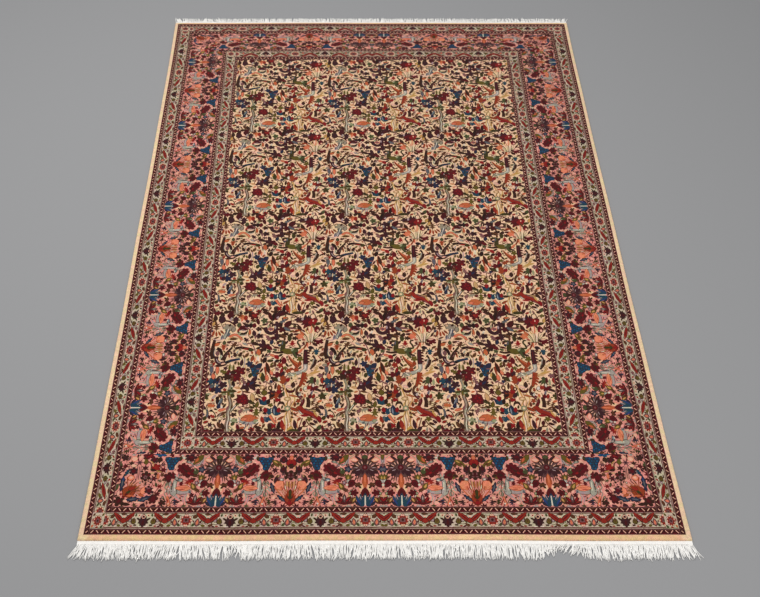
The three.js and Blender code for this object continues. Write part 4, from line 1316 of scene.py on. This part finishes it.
# The middles of an end's yarns at each of their steps. A yarn winds loosely round its line; the line leans,
# curls a little and lies level on the floor or on other yarns. Neighbours gather in small locks.
def yarnMiddles(end, t):
    chance = np.random.default_rng(end["seed"])
    n, side = end["count"], end["side"]
    share = np.linspace(-1, 1, n) + chance.normal(0, cotton["placeSpread"] / n, n)
    edgeY = np.full(n, 0.0 if side < 0 else rug["length"])
    rootX, rootY = onRug(share * (rug["halfWidth"] - cotton["cornerInset"]), edgeY)
    rootY = rootY + side * (kilim["gap"] + end["depth"] - cotton["rootDepth"]) / 1000
    length = (end["length"] + cotton["rootDepth"] + chance.normal(0, end["spread"] * 0.5, n)) / 1000
    fromCorner = 1 - np.abs(share)
    lean = np.sign(share) * cotton["splay"] * np.exp(-fromCorner / cotton["splayReach"])
    calm = 1 - np.exp(-fromCorner / (2 * cotton["splayReach"]))
    sway = end["lean"] * np.sin(share * np.pi * end["waves"])
    lean = np.radians(lean + calm * (sway + chance.normal(0, cotton["leanSpread"], n)))
    curl = chance.normal(0, cotton["curlSpread"], n)
    for middle, reach, sweep in end["tangles"]:
        near = np.exp(-(((share - middle) / reach) ** 4))
        lean = lean + near * np.radians(sweep + chance.normal(0, cotton["tangledLean"], n))
        curl = curl + near * chance.normal(0, cotton["tangledCurl"], n)
        always, atMost = cotton["tangledShort"]
        length = length * (1 - near * (always + atMost * chance.random(n)))
    along = length[:, None] * t
    lock = np.cumsum(chance.random(n) < cotton["newLock"])
    lockX = np.bincount(lock, rootX) / np.maximum(1, np.bincount(lock))
    gather = (lockX[lock] - rootX) * chance.uniform(*cotton["gather"], n)
    bend = np.sin(lean)[:, None] * along + curl[:, None] * along * t * cotton["curlGrowth"]
    lineX = rootX[:, None] + bend + gather[:, None] * t
    lineY = rootY[:, None] + side * np.cos(lean)[:, None] * along
    layer = chance.uniform(0.0, cotton["layers"], n)[:, None]
    lift = cotton["lift"] * np.sin(t * np.pi * cotton["liftWave"] + chance.uniform(0, 2, n)[:, None]) * t
    lineZ = (cotton["rest"] + layer + lift) / 1000
    wound = cotton["twist"] * t * (end["length"] / cotton["twistLength"])
    turns = 2 * np.pi * (chance.random(n)[:, None] + wound)
    atTip = towardsTip(t, cotton["looseFrom"]) * chance.uniform(*cotton["looseEnd"], n)[:, None]
    orbit = cotton["yarnRadius"] / 1000 * (cotton["loose"] + cotton["loose"] * atTip)
    middleZ = lineZ + orbit * cotton["flat"] * np.sin(turns)
    return np.stack([lineX + orbit * np.cos(turns), lineY, middleZ], -1)


# All of an end's yarns as one mesh of closed tubes: a ring at each step of each middle, thinner at the tip.
def tasselPiece(label, end):
    n, steps, sides = end["count"], end["steps"], cotton["sides"]
    t = np.linspace(0, 1, steps)
    radius = cotton["yarnRadius"] / 1000 * (1 - cotton["taper"] * towardsTip(t, cotton["taperFrom"]))
    angle = np.linspace(0, 2 * np.pi, sides, endpoint=False)
    ring = np.stack([np.cos(angle), np.zeros(sides), np.sin(angle)], -1)
    verts = yarnMiddles(end, t)[:, :, None, :] + ring[None, None] * radius[None, :, None, None]
    verts[..., 2] = np.maximum(verts[..., 2], cotton["clear"])
    base = (np.arange(n) * steps * sides)[:, None, None]
    i, k = np.arange(steps - 1)[None, :, None], np.arange(sides)[None, None, :]
    a, b = base + i * sides + k, base + i * sides + (k + 1) % sides
    quads = np.stack([a, b, b + sides, a + sides], -1).reshape(-1, 4)
    roots = base[:, 0] + np.arange(sides)[None]
    tips = roots + (steps - 1) * sides
    if end["side"] > 0:
        quads, tips = quads[:, ::-1], tips[:, ::-1]
    else:
        roots = roots[:, ::-1]
    mesh = bpy.data.meshes.new("tassels" + label)
    mesh.from_pydata(verts.reshape(-1, 3).tolist(), [], quads.tolist() + roots.tolist() + tips.tolist())
    mesh.polygons.foreach_set("use_smooth", np.ones(len(mesh.polygons), bool))
    return shown("tassels" + label, mesh)


cottonObjects = []
for label, end in ends.items():
    for piece in (kilimPiece(label, end), tasselPiece(label, end)):
        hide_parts(end["node"])
        cottonObjects.append(piece)
woolObjects = [*fieldObjects, *borderObjects, *guardObjects, groundObject]
for piece in woolObjects:
    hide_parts("rug_pile")
for piece in (*woolObjects, *cottonObjects):
    tris = sum(len(p.vertices) - 2 for p in piece.data.polygons)
    print(piece.name, tris, "triangles")


# A material, its node tree and its shader with the settings of its own sockets.
def newMaterial(name, settings):
    material = bpy.data.materials.new(name)
    material.use_nodes = True
    tree = material.node_tree
    tree.nodes.clear()
    shader = tree.nodes.new("ShaderNodeBsdfPrincipled")
    for socket, value in settings.items():
        shader.inputs[socket].default_value = value
    output = tree.nodes.new("ShaderNodeOutputMaterial")
    tree.links.new(shader.outputs["BSDF"], output.inputs["Surface"])
    return material, tree, shader


# Noise at a place: look gives its scale and detail, and for a value that is spread over a range, that range
# and the part of the noise that fills it.
def noiseNode(tree, look, place):
    noise = tree.nodes.new("ShaderNodeTexNoise")
    noise.inputs["Scale"].default_value = look["scale"]
    noise.inputs["Detail"].default_value = look["detail"]
    tree.links.new(place, noise.inputs["Vector"])
    if "to" not in look:
        return noise.outputs["Fac"]
    node = tree.nodes.new("ShaderNodeMapRange")
    low, high = look.get("from", (0.3, 0.7))
    node.inputs["From Min"].default_value = low
    node.inputs["From Max"].default_value = high
    node.inputs["To Min"].default_value = look["to"][0]
    node.inputs["To Max"].default_value = look["to"][1]
    tree.links.new(noise.outputs["Fac"], node.inputs["Value"])
    return node.outputs["Result"]


# One value times another.
def times(tree, a, b):
    node = tree.nodes.new("ShaderNodeMath")
    node.operation = "MULTIPLY"
    tree.links.new(a, node.inputs[0])
    tree.links.new(b, node.inputs[1])
    return node.outputs["Value"]


# A colour times a value.
def scaled(tree, colour, value):
    node = tree.nodes.new("ShaderNodeVectorMath")
    node.operation = "SCALE"
    tree.links.new(colour, node.inputs[0])
    tree.links.new(value, node.inputs["Scale"])
    return node.outputs["Vector"]


# The colour times a cast that wanders between a warm one and a yellow one. The sockets are the mix node's
# own for vectors.
def toned(tree, colour, share, warm, yellow):
    cast = tree.nodes.new("ShaderNodeMix")
    cast.data_type = "VECTOR"
    cast.inputs[4].default_value = warm
    cast.inputs[5].default_value = yellow
    tree.links.new(share, cast.inputs[0])
    node = tree.nodes.new("ShaderNodeVectorMath")
    node.operation = "MULTIPLY"
    tree.links.new(colour, node.inputs[0])
    tree.links.new(cast.outputs[1], node.inputs[1])
    return node.outputs["Vector"]


# Raises the surface by a height from 0 to 1, times a distance in metres.
def bumped(tree, shader, height, distance):
    bump = tree.nodes.new("ShaderNodeBump")
    bump.inputs["Distance"].default_value = distance
    bump.inputs["Strength"].default_value = 1.0
    tree.links.new(height, bump.inputs["Height"])
    tree.links.new(bump.outputs["Normal"], shader.inputs["Normal"])


# Dyed wool: the dye, a slow unevenness of the dye baths, patches, and the grain of the knots.
woolLook = {
    "shader": {"Roughness": 0.95, "Sheen Weight": 0.04, "Sheen Roughness": 0.6, "Specular IOR Level": 0.15},
    "baths": {"scale": 3.0, "detail": 2.0, "to": (0.83, 0.95)},
    "patches": {"scale": 90.0, "detail": 2.0, "to": (0.9, 1.08)},
    "grain": {"scale": 420.0, "detail": 1.0, "to": (0.78, 1.2)},
    "cast": {"scale": 55.0, "detail": 2.0, "from": (0.35, 0.65), "to": (0, 1)},
    "warm": (1.05, 0.93, 0.95),
    "yellow": (0.97, 1.03, 0.86),
    "knots": {"scale": 520.0, "detail": 1.0},
    "knotHeight": 0.0012,
}
cottonLook = {
    "shader": {"Roughness": 0.9, "Specular IOR Level": 0.2},
    "colour": (0.98, 0.96, 0.925, 1),
    "tone": {"scale": 60.0, "detail": 2.0, "to": (0.94, 1.03)},
    "fibres": {"scale": 900.0, "detail": 1.0},
    "fibreHeight": 0.0006,
}


# The dye that a face carries, made uneven.
def woolMaterial():
    material, tree, shader = newMaterial("dyedWool", woolLook["shader"])
    place = tree.nodes.new("ShaderNodeTexCoord").outputs["Object"]
    dye = tree.nodes.new("ShaderNodeAttribute")
    dye.attribute_name = "dye"
    baths, patches, grain, cast = (
        noiseNode(tree, woolLook[name], place) for name in ("baths", "patches", "grain", "cast")
    )
    dyed = toned(tree, dye.outputs["Color"], cast, woolLook["warm"], woolLook["yellow"])
    uneven = times(tree, times(tree, baths, patches), grain)
    tree.links.new(scaled(tree, dyed, uneven), shader.inputs["Base Color"])
    bumped(tree, shader, noiseNode(tree, woolLook["knots"], place), woolLook["knotHeight"])
    return material


# Undyed cotton, a little lighter and darker from place to place.
def cottonMaterial():
    material, tree, shader = newMaterial("undyedCotton", cottonLook["shader"])
    place = tree.nodes.new("ShaderNodeTexCoord").outputs["Object"]
    colour = tree.nodes.new("ShaderNodeRGB")
    colour.outputs[0].default_value = cottonLook["colour"]
    tone = noiseNode(tree, cottonLook["tone"], place)
    tree.links.new(scaled(tree, colour.outputs[0], tone), shader.inputs["Base Color"])
    bumped(tree, shader, noiseNode(tree, cottonLook["fibres"], place), cottonLook["fibreHeight"])
    return material


for material, pieces in ((woolMaterial(), woolObjects), (cottonMaterial(), cottonObjects)):
    for piece in pieces:
        piece.data.materials.append(material)
    print(material.name, "on", len(pieces), "pieces")

studio = {
    "floorReach": 14.0,
    "floorDrop": 0.0004,
    "floor": {"Base Color": (0.32, 0.32, 0.325, 1), "Roughness": 0.9, "Specular IOR Level": 0.1},
    "sky": 0.455,
    "lamps": [
        {"name": "overhead", "at": (-1.2, 0.6, 4.2), "size": 3.4, "watts": 117},
        {"name": "front", "at": (1.8, -3.4, 3.4), "size": 2.2, "watts": 45},
    ],
}

# The camera stands over the near end. Its place is in metres from the middle of the pile, and its tip in
# degrees from looking straight down.
view = {"lens": 46.8, "sensor": 36, "shift": 0.0421, "at": (-0.122, -1.50, 3.046), "tip": 40}


# A new object of the studio.
def placed(name, data):
    holder = bpy.data.objects.new(name, data)
    bpy.context.scene.collection.objects.link(holder)
    return holder


floorMesh = bpy.data.meshes.new("floor")
reach = studio["floorReach"]
ways = ((-1, -1), (1, -1), (1, 1), (-1, 1))
floorMesh.from_pydata([(x * reach, y * reach, 0) for x, y in ways], [], [(0, 1, 2, 3)])
floorMesh.materials.append(newMaterial("paleFloor", studio["floor"])[0])
floor = placed("floor", floorMesh)
floor.location.z = -studio["floorDrop"]

world = bpy.data.worlds.new("studio")
bpy.context.scene.world = world
world.use_nodes = True
world.node_tree.nodes["Background"].inputs["Color"].default_value = (1, 1, 1, 1)
world.node_tree.nodes["Background"].inputs["Strength"].default_value = studio["sky"]

for lamp in studio["lamps"]:
    light = bpy.data.lights.new(lamp["name"], "AREA")
    light.size = lamp["size"]
    light.energy = lamp["watts"]
    holder = placed(lamp["name"], light)
    holder.location = lamp["at"]
    holder.rotation_euler = (-Vector(lamp["at"])).to_track_quat("-Z", "Y").to_euler()

cameraData = bpy.data.cameras.new("view")
cameraData.lens = view["lens"]
cameraData.sensor_width = view["sensor"]
cameraData.shift_x = view["shift"]
camera = placed("view", cameraData)
x, y, z = view["at"]
camera.location = (middleX / 1000 + x, (middleY - rug["length"] / 2) / 1000 + y, z)
camera.rotation_euler = (math.radians(view["tip"]), 0, 0)
bpy.context.scene.camera = camera
bpy.context.scene.view_settings.view_transform = "Standard"
print("floor, lamps and camera placed")
